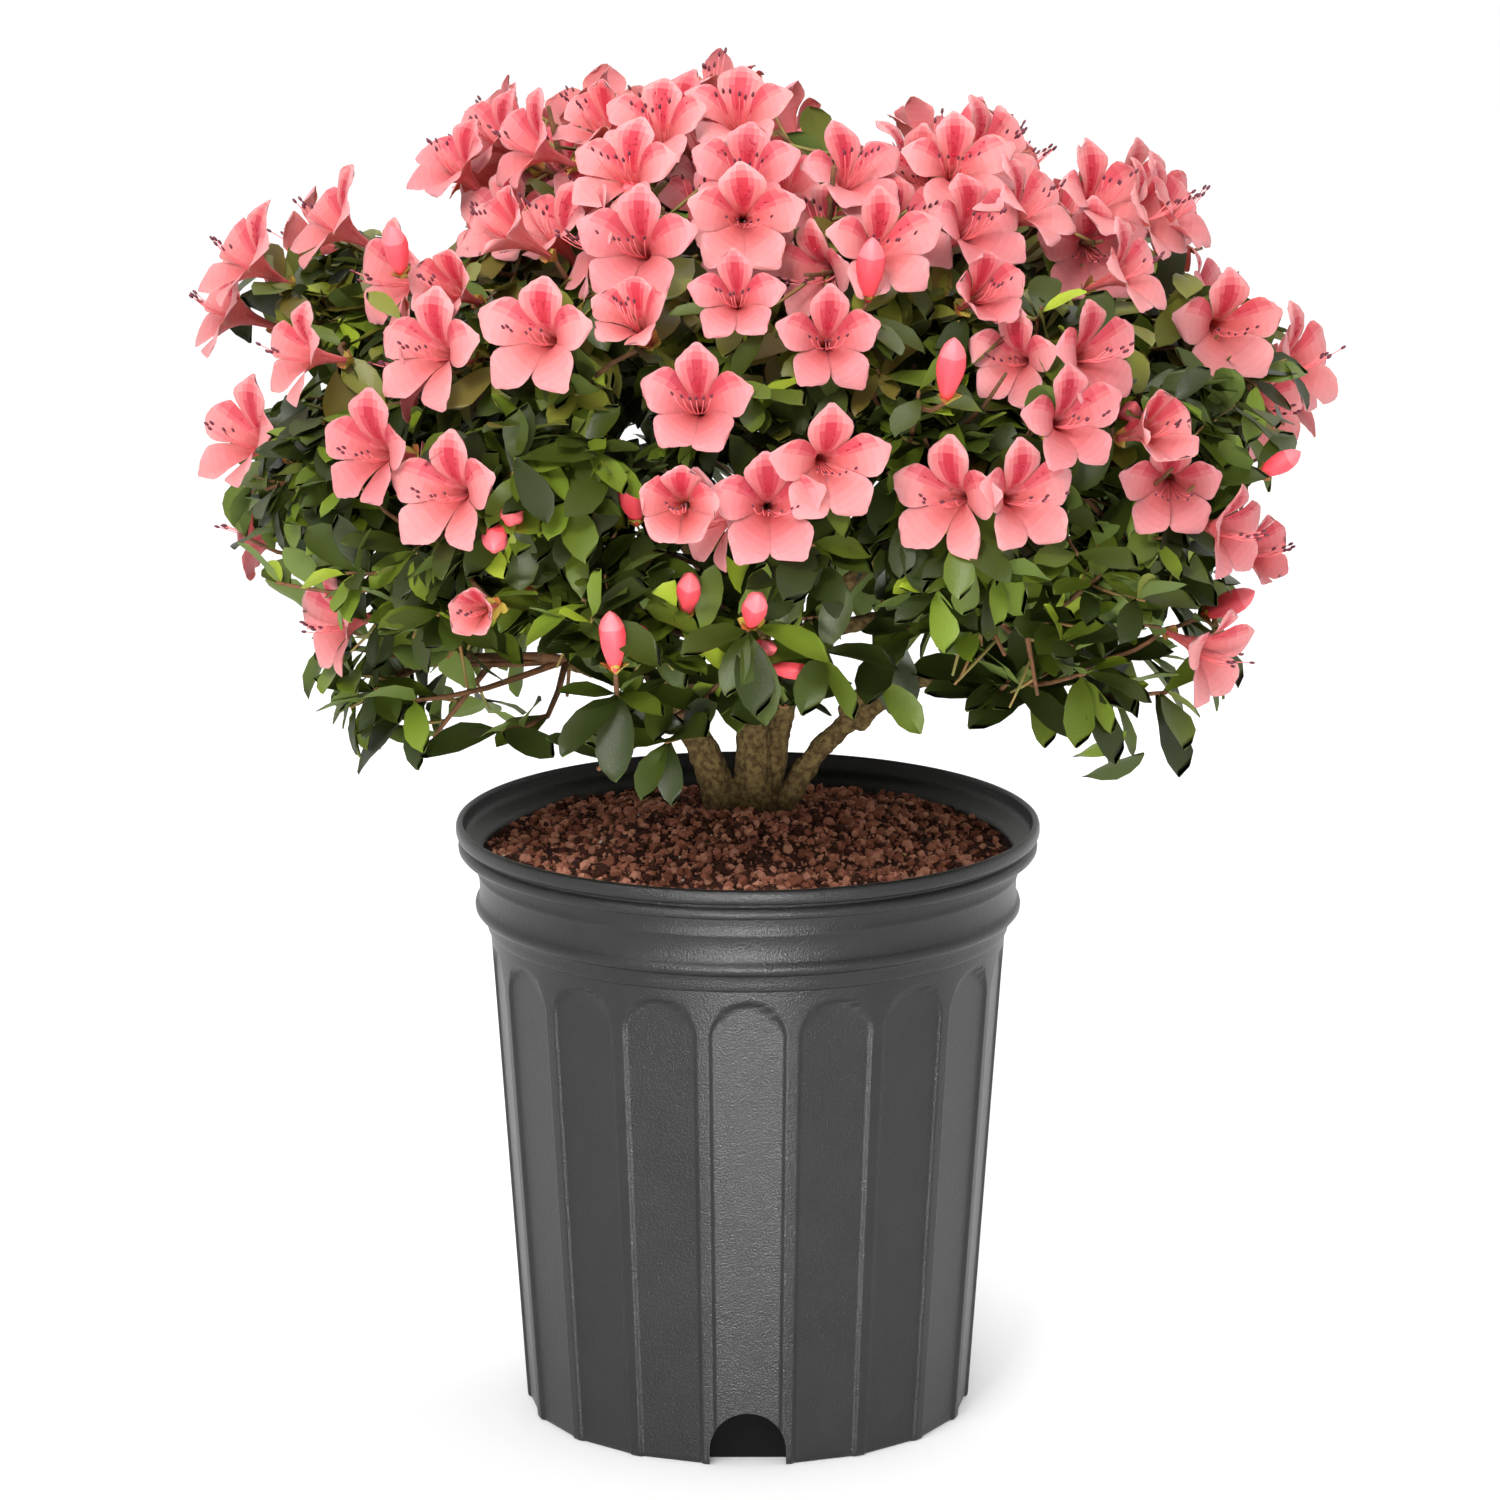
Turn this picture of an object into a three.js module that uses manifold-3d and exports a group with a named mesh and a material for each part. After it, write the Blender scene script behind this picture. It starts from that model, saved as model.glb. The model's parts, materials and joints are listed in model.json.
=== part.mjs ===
// Azalea shrub in a black fluted nursery pot, in millimetres, +Z up.
// The origin is the centre of the pot's flat underside. The -Y side is the front.
// The pot holds a mound of soil. Four stems fused at the foot stand in it, boughs fork from the stems,
// and each mass of foliage grows on from a bough's tip: a stem, shoots, leaves and open flowers.

import * as THREE from "three";
import { mergeVertices } from "three/addons/utils/BufferGeometryUtils.js";
import Module from "manifold-3d";

const wasm = await Module();
wasm.setup();

// ---------------------------------------------------------------- driving sizes

const CLEAR = 0.3; // gap between neighbouring solids
const RIM_RADIUS = 135; // outside of the pot's lip
const POT_HEIGHT = 280;
const BASE_RADIUS = 103.5;
const WALL = 2.6;
const FLOOR = 2.4;
const LATHE_STEPS = 36;

const POT = {
  lipHeight: 7,
  grooveHeight: 2,
  beadHeight: 6,
  bandRadius: 124.5,
  bandHeight: 22,
  ringHeight: 6,
  ringRadius: 126.5,
  collarRadius: 120.5,
  collarDrop: 50,
};

const FLUTES = { count: 18, width: 0.83, depth: 1.8, topDrop: 57, archSteps: 4 };
const DRAINS = { width: 35, height: 25, depth: 13, archSteps: 4 };
const DRAIN_ANGLES = [0, 120, 240];

const SOIL = { edgeDrop: 13, crownRise: 3, rings: 4 };

const FOOT = { x: 0, y: 15, sink: 3 }; // where the stems rise out of the soil
const FLARE = { radius: 17, height: 12, top: 9 };

// The trunk's stems: their feet about the flare's centre, their forks above the soil, their radii.
const STEMS = [
  { name: "left", foot: [-9, 0], fork: [-32, -6, 50], radii: [6.4, 4.8] },
  { name: "middle", foot: [3, 0], fork: [2, 0, 72], radii: [8.2, 6] },
  { name: "back", foot: [9, 3], fork: [22, 10, 72], radii: [5.6, 4.4] },
  { name: "right", foot: [12, -3], fork: [50, -8, 48], radii: [5.4, 4.4] },
];

// Boughs leave the forks in rings: how high their tips are, how far out, and the compass angles,
// where 0 is the front, -90 the left and 90 the right.
const BOUGHS = [
  { name: "low", height: 362, reach: 98, azimuths: [-68, -14, 62, 128, -128] },
  { name: "high", height: 440, reach: 98, azimuths: [-84, -30, 34, 98, 172] },
  { name: "top", height: 500, reach: 56, azimuths: [-95, -18, 62, 155] },
];
const BOUGH = { radii: [4, 3.5], steps: 5, sides: 6, bow: 0.1 };
const FORK_LIMIT = 4; // the most limbs that fork from one tip
const ROLLS = 8; // how many turns of a fork are tried

// The crown is a dome. Masses of foliage sit on it in tiers, by height and compass angle.
// Each but the lowest ends in a truss of open flowers. Leaves may reach past the dome by the fringe.
const CROWN = {
  x: 8,
  y: 5,
  z: 455,
  halfWidth: 270,
  halfDepth: 240,
  halfHeight: 181,
  fringe: 20,
  floor: 298,
};
const TIERS = [
  { name: "skirt", height: 346, truss: 0, azimuths: [-78, -14, 64, 132, -138] },
  { name: "low", height: 400, truss: 1, azimuths: [-51, -16, 40, 78, 146, -156, -104] },
  { name: "belt", height: 468, truss: 2, azimuths: [-68, -36, 0, 28, 57, 106, 154, -152, -110] },
  { name: "upper", height: 526, truss: 2, azimuths: [-92, -42, 40, 78, 132, -176, -130] },
  { name: "shoulder", height: 574, truss: 2, azimuths: [-66, -20, 17, 66, 112, 170, -126] },
  { name: "top", height: 606, truss: 2, azimuths: [-74, 50, 116, 178, -128] },
  { name: "apex", height: 625, truss: 2, azimuths: [-12, 140] },
];
const STEM = { radii: [2.5, 2.3], steps: 4, sides: 4, bow: 0.06, share: 0.68 };

const SHOOT = { count: 2, length: [44, 64], radii: [1.5, 1.7], from: 0.45, tilt: [38, 58] };
const LEAF = { length: 42, width: 17.5, ridge: 1.3, widest: 0.56, droop: 3, sunk: 1.1 };
const WHORL = { count: 4, back: 3, step: 3.5, wander: 16, lift: [56, 80] };
const FLOWER = {
  width: 50,
  depth: 40,
  neck: 3.6,
  neckDepth: 18,
  throat: 22,
  notch: 0.5,
  notchDepth: 30,
  sunk: 2,
};
const PETALS = 5;
const TRUSS = { tilt: 58, step: 6, room: 38 }; // the side flowers' lean, and the room beyond the shoot
const SHORTEST = 0.01; // no edge of a mass is shorter
const TRIES = 8; // how often a piece that doesn't fit is turned before it's left off

const COLOURS = {
  pot: { color: 0x2b2c2e, roughness: 0.45 },
  soil: { color: 0x40251c, roughness: 0.95 },
  bark: { color: 0x5d4c37, roughness: 0.9 },
  foliage: { color: 0x3c5a2c, roughness: 0.55 },
};

// ---------------------------------------------------------------- helpers

const Z = new THREE.Vector3(0, 0, 1);
const vec = (x, y, z) => new THREE.Vector3(x, y, z);
const degrees = THREE.MathUtils.degToRad;
const mix = THREE.MathUtils.lerp;

// A closed geometry as a manifold-3d solid.
function solid(geometry) {
  const bare = geometry.index ? geometry.toNonIndexed() : geometry.clone();
  bare.deleteAttribute("normal");
  bare.deleteAttribute("uv");
  const merged = mergeVertices(bare, 1e-4);
  return new wasm.Manifold(
    new wasm.Mesh({
      numProp: 3,
      vertProperties: merged.attributes.position.array,
      triVerts: new Uint32Array(merged.index.array),
    }),
  );
}

// A manifold-3d solid as a geometry.
function geometryOf(made) {
  const mesh = made.getMesh();
  const geometry = new THREE.BufferGeometry();
  geometry.setAttribute("position", new THREE.BufferAttribute(new Float32Array(mesh.vertProperties), 3));
  geometry.setIndex(new THREE.BufferAttribute(new Uint32Array(mesh.triVerts), 1));
  geometry.computeVertexNormals();
  return geometry;
}

// The shortest edge of a solid.
function shortestEdge(made) {
  const { vertProperties, triVerts, numProp } = made.getMesh();
  const corner = (k) => vec(...vertProperties.subarray(numProp * k, numProp * k + 3));
  let shortest = Infinity;
  for (let t = 0; t < triVerts.length; t += 3) {
    const [a, b, c] = [0, 1, 2].map((j) => corner(triVerts[t + j]));
    shortest = Math.min(shortest, a.distanceTo(b), b.distanceTo(c), c.distanceTo(a));
  }
  return shortest;
}

function polyhedron(points, faces) {
  const geometry = new THREE.BufferGeometry();
  const places = points.flatMap((point) => point.toArray());
  geometry.setAttribute("position", new THREE.Float32BufferAttribute(places, 3));
  geometry.setIndex(faces.flat());
  return geometry;
}

// Even random numbers from a seed, the same on every run.
function seeded(seed) {
  let state = seed >>> 0;
  return () => {
    state = (state + 0x6d2b79f5) | 0;
    let t = Math.imul(state ^ (state >>> 15), 1 | state);
    t = (t + Math.imul(t ^ (t >>> 7), 61 | t)) ^ t;
    return ((t ^ (t >>> 14)) >>> 0) / 4294967296;
  };
}

// The unit vector at a compass angle and an elevation, in degrees.
function heading(azimuth, elevation) {
  const a = degrees(azimuth);
  const e = degrees(elevation);
  return vec(Math.sin(a) * Math.cos(e), -Math.cos(a) * Math.cos(e), Math.sin(e));
}

// Two unit vectors square to a direction: the first level, the second as near upright as it can be.
function sidesOf(direction) {
  const level = vec(0, 0, 1).cross(direction);
  if (level.length() < 1e-3) level.set(1, 0, 0);
  level.normalize();
  return [level, direction.clone().cross(level).normalize()];
}

// ---------------------------------------------------------------- pot and soil

// The pot's outside radius and height down its wall, from the foot to the lip.
function potProfile() {
  const lipFoot = POT_HEIGHT - POT.lipHeight;
  const beadTop = lipFoot - POT.grooveHeight;
  const beadFoot = beadTop - POT.beadHeight;
  const bandFoot = beadFoot - POT.bandHeight;
  const ringFoot = bandFoot - POT.ringHeight;
  const collarFoot = POT_HEIGHT - POT.collarDrop;
  return [
    [BASE_RADIUS - 2, 0],
    [BASE_RADIUS, 3],
    [POT.collarRadius - 1.2, collarFoot],
    [POT.collarRadius, collarFoot + 1],
    [POT.collarRadius + 0.6, ringFoot],
    [POT.ringRadius, ringFoot + 1.5],
    [POT.ringRadius, bandFoot - 1],
    [POT.bandRadius, bandFoot],
    [POT.bandRadius + 1.6, beadFoot],
    [RIM_RADIUS - 1.6, beadFoot + 1.4],
    [RIM_RADIUS - 1, beadTop - 1],
    [RIM_RADIUS - 3, beadTop],
    [RIM_RADIUS - 3, lipFoot],
    [RIM_RADIUS, lipFoot + 1.4],
    [RIM_RADIUS, POT_HEIGHT - 1.4],
    [RIM_RADIUS - 1.4, POT_HEIGHT],
  ];
}

// A profile of radius and height, turned about the upright axis.
function turned(profile, steps) {
  const points = profile.map(([r, z]) => new THREE.Vector2(r, z));
  return new THREE.LatheGeometry(points, steps).rotateX(Math.PI / 2);
}

const lathe = (profile) => solid(turned(profile, LATHE_STEPS));

// The inside of the pot, one straight taper under the collar and one above it.
const INSIDE = [
  [0, FLOOR],
  [BASE_RADIUS - WALL - 2, FLOOR],
  [POT.collarRadius - WALL - 2.4, POT_HEIGHT - POT.collarDrop],
  [POT.bandRadius - WALL, POT_HEIGHT - 13],
  [RIM_RADIUS - 5, POT_HEIGHT - POT.lipHeight - 1],
  [RIM_RADIUS - 3.2, POT_HEIGHT],
];

function insideRadius(z) {
  const k = INSIDE.findIndex(([, height], i) => i > 1 && height >= z);
  const [r0, z0] = INSIDE[k - 1];
  const [r1, z1] = INSIDE[k];
  return mix(r0, r1, (z - z0) / (z1 - z0));
}

// An upright slab with a round head that stands on foot and reaches from radius near to radius far.
function archSlab(width, height, near, far, foot, azimuth, steps) {
  const half = width / 2;
  const shape = new THREE.Shape();
  shape.moveTo(-half, 0);
  shape.lineTo(half, 0);
  shape.lineTo(half, height - half);
  shape.absarc(0, height - half, half, 0, Math.PI, false);
  shape.lineTo(-half, 0);
  const options = { depth: far - near, bevelEnabled: false, curveSegments: steps };
  const slab = new THREE.ExtrudeGeometry(shape, options);
  slab.rotateX(Math.PI / 2).translate(0, -near, foot);
  return solid(slab.rotateZ(degrees(azimuth)));
}

// A drain pocket at the foot of the wall: the hole, or the block of wall around it.
function drainPocket(azimuth, grow, below) {
  const near = BASE_RADIUS - DRAINS.depth - grow;
  const far = BASE_RADIUS + 8;
  const width = DRAINS.width + 2 * grow;
  const height = DRAINS.height + grow + below;
  return archSlab(width, height, near, far, -below, azimuth, DRAINS.archSteps);
}

// A flute is a shallow round-headed recess that follows the wall's taper and narrows with it.
function fluteCutter(azimuth) {
  const pitch = degrees(360 / FLUTES.count);
  const half = (pitch * FLUTES.width) / 2;
  const top = POT_HEIGHT - FLUTES.topDrop;
  const wall = (z) => mix(BASE_RADIUS, POT.collarRadius - 1.2, z / (POT_HEIGHT - POT.collarDrop));
  const arch = half * wall(top);
  const outline = [];
  for (let k = 0; k <= FLUTES.archSteps; k++) {
    const turn = (Math.PI * k) / FLUTES.archSteps;
    outline.push([half * Math.cos(turn), top - arch + arch * Math.sin(turn)]);
  }
  outline.push([-half, -1], [0, -1], [half, -1]);
  const ring = (lift) =>
    outline.map(([angle, z]) => {
      const r = wall(z) + lift;
      return vec(r * Math.sin(angle), -r * Math.cos(angle), z);
    });
  const inner = ring(-FLUTES.depth);
  const outer = ring(9);
  const n = outline.length;
  const middle = vec(0, -(wall(top / 2) - FLUTES.depth), top / 2);
  const middleOut = vec(0, -(wall(top / 2) + 9), top / 2);
  const faces = [];
  for (let k = 0; k < n; k++) {
    const next = (k + 1) % n;
    faces.push([k, next, n + next], [k, n + next, n + k]);
    faces.push([2 * n, next, k], [2 * n + 1, n + k, n + next]);
  }
  return solid(polyhedron([...inner, ...outer, middle, middleOut], faces).rotateZ(degrees(azimuth)));
}

function potSolid() {
  const outside = lathe([[0, 0], ...potProfile(), [0, POT_HEIGHT]]);
  const above = POT_HEIGHT + 5;
  let shell = outside.subtract(lathe([...INSIDE, [RIM_RADIUS - 3.2, above], [0, above]]));
  for (const azimuth of DRAIN_ANGLES) {
    shell = shell.add(drainPocket(azimuth, WALL, 0).intersect(outside));
  }
  for (let k = 0; k < FLUTES.count; k++) {
    shell = shell.subtract(fluteCutter((360 * k) / FLUTES.count));
  }
  for (const azimuth of DRAIN_ANGLES) {
    shell = shell.subtract(drainPocket(azimuth, 0, 5));
  }
  return shell;
}

const SOIL_TOP = POT_HEIGHT + SOIL.crownRise;
const SOIL_EDGE = POT_HEIGHT - SOIL.edgeDrop;

// The soil fills the pot and rises in a low mound to the foot of the stems.
function soilSolid() {
  const edgeRadius = insideRadius(SOIL_EDGE) - CLEAR;
  const profile = [[0, FLOOR + CLEAR]];
  for (const [r, z] of INSIDE.slice(1)) {
    if (z < SOIL_EDGE - 4) profile.push([r - CLEAR, Math.max(z, FLOOR + CLEAR)]);
  }
  for (let k = 0; k < SOIL.rings; k++) {
    const share = k / SOIL.rings;
    const rise = Math.sin((Math.PI / 2) * share) ** 1.5;
    profile.push([edgeRadius * (1 - share), mix(SOIL_EDGE, SOIL_TOP, rise)]);
  }
  profile.push([0, SOIL_TOP]);
  let mound = lathe(profile);
  for (const azimuth of DRAIN_ANGLES) {
    mound = mound.subtract(drainPocket(azimuth, WALL + CLEAR, 5));
  }
  return mound;
}

// ---------------------------------------------------------------- limbs

// A tapering limb along a smooth curve, all its radii larger by grow.
function limb({ points, radii, steps, sides }, grow = 0) {
  const curve = new THREE.CatmullRomCurve3(points);
  const frames = curve.computeFrenetFrames(steps, false);
  const corners = [];
  for (let k = 0; k <= steps; k++) {
    const centre = curve.getPointAt(k / steps);
    if (k === 0) centre.addScaledVector(frames.tangents[k], -grow);
    if (k === steps) centre.addScaledVector(frames.tangents[k], grow);
    const r = mix(radii[0], radii[1], k / steps) + grow / Math.cos(Math.PI / sides);
    for (let s = 0; s < sides; s++) {
      const turn = (2 * Math.PI * s) / sides;
      const corner = centre.clone().addScaledVector(frames.normals[k], r * Math.cos(turn));
      corners.push(corner.addScaledVector(frames.binormals[k], r * Math.sin(turn)));
    }
  }
  const faces = [];
  for (let k = 0; k < steps; k++) {
    for (let s = 0; s < sides; s++) {
      const a = k * sides + s;
      const b = k * sides + ((s + 1) % sides);
      faces.push([a, b, b + sides], [a, b + sides, a + sides]);
    }
  }
  const last = steps * sides;
  for (let s = 1; s < sides - 1; s++) {
    faces.push([0, s + 1, s], [last, last + s, last + s + 1]);
  }
  return solid(polyhedron(corners, faces));
}

const GROUND = SOIL_TOP - FOOT.sink; // the flat cut under the stems

// Each stem rises from the flare and leans out to its fork, a little more upright at first.
const stems = STEMS.map(({ foot, fork, radii }) => {
  const from = vec(FOOT.x + foot[0], FOOT.y + foot[1], GROUND);
  const tip = vec(FOOT.x + fork[0], FOOT.y + fork[1], GROUND + fork[2]);
  const middle = from.clone().lerp(tip, 0.5);
  middle.z += 0.06 * from.distanceTo(tip);
  const below = from.clone().add(vec(0, 0, -4));
  const lean = tip.clone().sub(middle).normalize();
  return { points: [below, middle, tip], radii, steps: 4, sides: 8, tip, lean };
});

// The trunk: the stems fused to their root flare and cut off flat at the ground.
function trunkSolid(grow) {
  const profile = [
    [0, -grow],
    [FLARE.radius + grow, -grow],
    [mix(FLARE.radius, FLARE.top, 0.7) + grow, FLARE.height * 0.45],
    [FLARE.top + grow, FLARE.height],
    [0, FLARE.height + grow],
  ];
  const flare = turned(profile, 12).scale(1.15, 0.8, 1).translate(FOOT.x + 2, FOOT.y, GROUND);
  const below = new THREE.BoxGeometry(200, 200, 40).translate(FOOT.x, FOOT.y, GROUND - 20 - grow);
  const fused = stems.reduce((made, stem) => made.add(limb(stem, grow)), solid(flare));
  return fused.subtract(solid(below));
}

// Every order of the numbers from 0 to count - 1.
function orders(count) {
  if (count === 1) return [[0]];
  return orders(count - 1).flatMap((order) =>
    Array.from({ length: count }, (_, at) => [...order.slice(0, at), count - 1, ...order.slice(at)]),
  );
}

// Where the limbs that fork from a tip start: evenly round it, each on the side that it leaves by.
function forkStarts(tip, lean, ends, radius) {
  const [level, upright] = sidesOf(lean);
  const count = ends.length;
  const spread = count > 1 ? (radius + 2 * CLEAR) / Math.sin(Math.PI / count) : 0;
  const side = (turn) => {
    const across = level.clone().multiplyScalar(Math.cos(turn));
    return across.addScaledVector(upright, Math.sin(turn));
  };
  let best = { score: -Infinity };
  for (let roll = 0; roll < ROLLS; roll++) {
    const sides = ends.map((_, k) => side((2 * Math.PI * (k + roll / ROLLS)) / count));
    for (const order of orders(count)) {
      const reach = (end, k) => end.clone().sub(tip).dot(sides[order[k]]);
      const score = ends.reduce((sum, end, k) => sum + reach(end, k), 0);
      if (score > best.score) best = { score, offsets: order.map((place) => sides[place]) };
    }
  }
  const base = tip.clone().addScaledVector(lean, CLEAR + 0.05);
  return best.offsets.map((offset) => base.clone().addScaledVector(offset, spread));
}

const taken = [{ solid: trunkSolid(CLEAR) }]; // every limb, enlarged by the gap that others keep from it

// Lays a limb from a fork to its end, bowed the way the fork leans and clear of every other limb.
function layLimb(child, start, lean) {
  const span = start.distanceTo(child.end);
  const near = start.clone().addScaledVector(lean, 0.1 * span);
  const middle = start.clone().lerp(child.end, 0.5).addScaledVector(lean, child.bow * span);
  child.points = [start, near, middle, child.end];
  child.tip = child.end;
  child.lean = child.end.clone().sub(middle).normalize();
  const bare = limb(child);
  if (!taken.every((other) => bare.intersect(other.solid).isEmpty())) {
    throw new Error(`${child.name} has no clear way`);
  }
  taken.push({ owner: child, solid: limb(child, CLEAR) });
}

// Grows each limb from the nearest parent tip that isn't full, the closest pairs first.
function attach(children, parents) {
  const pairs = children.flatMap((child) =>
    parents.map((parent) => ({ child, parent, apart: parent.tip.distanceTo(child.end) })),
  );
  pairs.sort((a, b) => a.apart - b.apart);
  for (const { child, parent } of pairs) {
    const full = children.filter((other) => other.parent === parent).length >= FORK_LIMIT;
    if (!child.parent && !full) child.parent = parent;
  }
  for (const parent of parents) {
    const own = children.filter((child) => child.parent === parent);
    if (!own.length) continue;
    const ends = own.map((child) => child.end);
    const starts = forkStarts(parent.tip, parent.lean, ends, own[0].radii[0]);
    own.forEach((child, k) => layLimb(child, starts[k], parent.lean));
  }
}

const boughs = BOUGHS.flatMap(({ name, height, reach, azimuths }) =>
  azimuths.map((azimuth, k) => {
    const end = heading(azimuth, 0).multiplyScalar(reach).add(vec(CROWN.x, CROWN.y, height));
    return { name: `bough_${name}_${k + 1}`, end, ...BOUGH };
  }),
);
attach(boughs, stems);

// ---------------------------------------------------------------- masses of foliage

// The crown's surface at a compass angle and a height.
function crownPoint(azimuth, height) {
  const level = Math.sqrt(1 - ((height - CROWN.z) / CROWN.halfHeight) ** 2);
  const way = heading(azimuth, 0);
  const reach = level / Math.hypot(way.x / CROWN.halfWidth, way.y / CROWN.halfDepth);
  return way.multiplyScalar(reach).add(vec(CROWN.x, CROWN.y, height));
}

const masses = TIERS.flatMap(({ name, height, truss, azimuths }) =>
  azimuths.map((azimuth, k) => {
    const face = crownPoint(azimuth, height);
    const end = vec(CROWN.x, CROWN.y, mix(CROWN.z, height, 0.55)).lerp(face, STEM.share);
    const heart = end.clone().lerp(face, 0.5);
    return { name: `mass_${name}_${k + 1}`, truss, face, end, heart, ...STEM };
  }),
);
masses.forEach((mass, k) => {
  mass.seed = 10000 * (k + 1);
  mass.roll = 360 * seeded(mass.seed - 1)();
});
attach(masses, boughs);

// A mass's own space is the part of the crown that lies nearer to its heart than to any other.
function inOwnSpace(point, mass) {
  const from = point.clone().sub(vec(CROWN.x, CROWN.y, CROWN.z));
  const halves = vec(CROWN.halfWidth, CROWN.halfDepth, CROWN.halfHeight).addScalar(CROWN.fringe);
  if (point.z < CROWN.floor || from.divide(halves).length() > 1) return false;
  return masses.every((other) => {
    if (other === mass) return true;
    const lead = point.distanceToSquared(other.heart) - point.distanceToSquared(mass.heart);
    return lead / (2 * other.heart.distanceTo(mass.heart)) > CLEAR;
  });
}

// A frame with its Y along a direction and its Z as near to facing as it can be.
function frameAt(root, along, facing) {
  const y = along.clone().normalize();
  const x = y.clone().cross(facing).normalize();
  const z = x.clone().cross(y);
  return new THREE.Matrix4().makeBasis(x, y, z).setPosition(root);
}

// A leaf: a thin blade of six faces, flat below and ridged above, with its tip bent down.
function leafGeometry(root, along, facing, size) {
  const length = LEAF.length * size;
  const half = (LEAF.width * size) / 2;
  const widest = LEAF.widest * length;
  const points = [
    vec(0, -LEAF.sunk, 0),
    vec(-half, widest, 0),
    vec(half, widest, 0),
    vec(0, length, -LEAF.droop * size),
    vec(0, widest, LEAF.ridge),
  ];
  const faces = [
    [0, 1, 2],
    [1, 3, 2],
    [0, 4, 1],
    [1, 4, 3],
    [2, 3, 4],
    [0, 2, 4],
  ];
  return polyhedron(points, faces).applyMatrix4(frameAt(root, along, facing));
}

// An open flower: a slender neck that flares into five round petals about a sunk throat.
function flowerGeometry(root, along, facing, size) {
  const spot = (across, turn, depth) =>
    vec(across * Math.sin(turn), depth * size, across * Math.cos(turn));
  const radius = (FLOWER.width / 2) * size;
  const neck = [];
  const rim = [];
  for (let k = 0; k < PETALS; k++) {
    const cut = (2 * Math.PI * (k + 0.5)) / PETALS;
    neck.push(spot(FLOWER.neck, cut, FLOWER.neckDepth));
    rim.push(spot(radius * FLOWER.notch, cut, FLOWER.notchDepth));
    for (const share of [0.36, 0.64]) {
      rim.push(spot(radius, cut + (2 * Math.PI * share) / PETALS, FLOWER.depth));
    }
  }
  const points = [vec(0, -FLOWER.sunk, 0), spot(0, 0, FLOWER.throat), ...neck, ...rim];
  const faces = [];
  for (let k = 0; k < PETALS; k++) {
    const next = (k + 1) % PETALS;
    const [n0, n1] = [2 + k, 2 + next];
    const edge = [0, 1, 2].map((j) => 2 + PETALS + 3 * k + j).concat(2 + PETALS + 3 * next);
    faces.push([0, n1, n0]);
    faces.push([n0, edge[1], edge[0]], [n0, edge[2], edge[1]]);
    faces.push([n0, n1, edge[2]], [n1, edge[3], edge[2]]);
    for (let j = 0; j < 3; j++) faces.push([1, edge[j], edge[j + 1]]);
  }
  return polyhedron(points, faces).applyMatrix4(frameAt(root, along, facing));
}

// A direction tilted by an angle from its own line, towards a turn about that line, in degrees.
function tilted(direction, tilt, turn) {
  const [level, upright] = sidesOf(direction);
  const side = level.multiplyScalar(Math.cos(degrees(turn)));
  side.addScaledVector(upright, Math.sin(degrees(turn)));
  const along = direction.clone().multiplyScalar(Math.cos(degrees(tilt)));
  return along.addScaledVector(side, Math.sin(degrees(tilt)));
}

// A straight twig of three sides that tapers from its root to its tip.
function twigGeometry(from, to, radii) {
  const way = to.clone().sub(from).normalize();
  const corners = [from, to].flatMap((centre, end) =>
    [0, 120, 240].map((turn) => centre.clone().addScaledVector(tilted(way, 90, turn), radii[end])),
  );
  const faces = [
    [0, 2, 1],
    [3, 4, 5],
  ];
  for (const [a, b] of [
    [0, 1],
    [1, 2],
    [2, 0],
  ]) {
    faces.push([a, b, b + 3], [a, b + 3, a + 3]);
  }
  return polyhedron(corners, faces);
}

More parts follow.
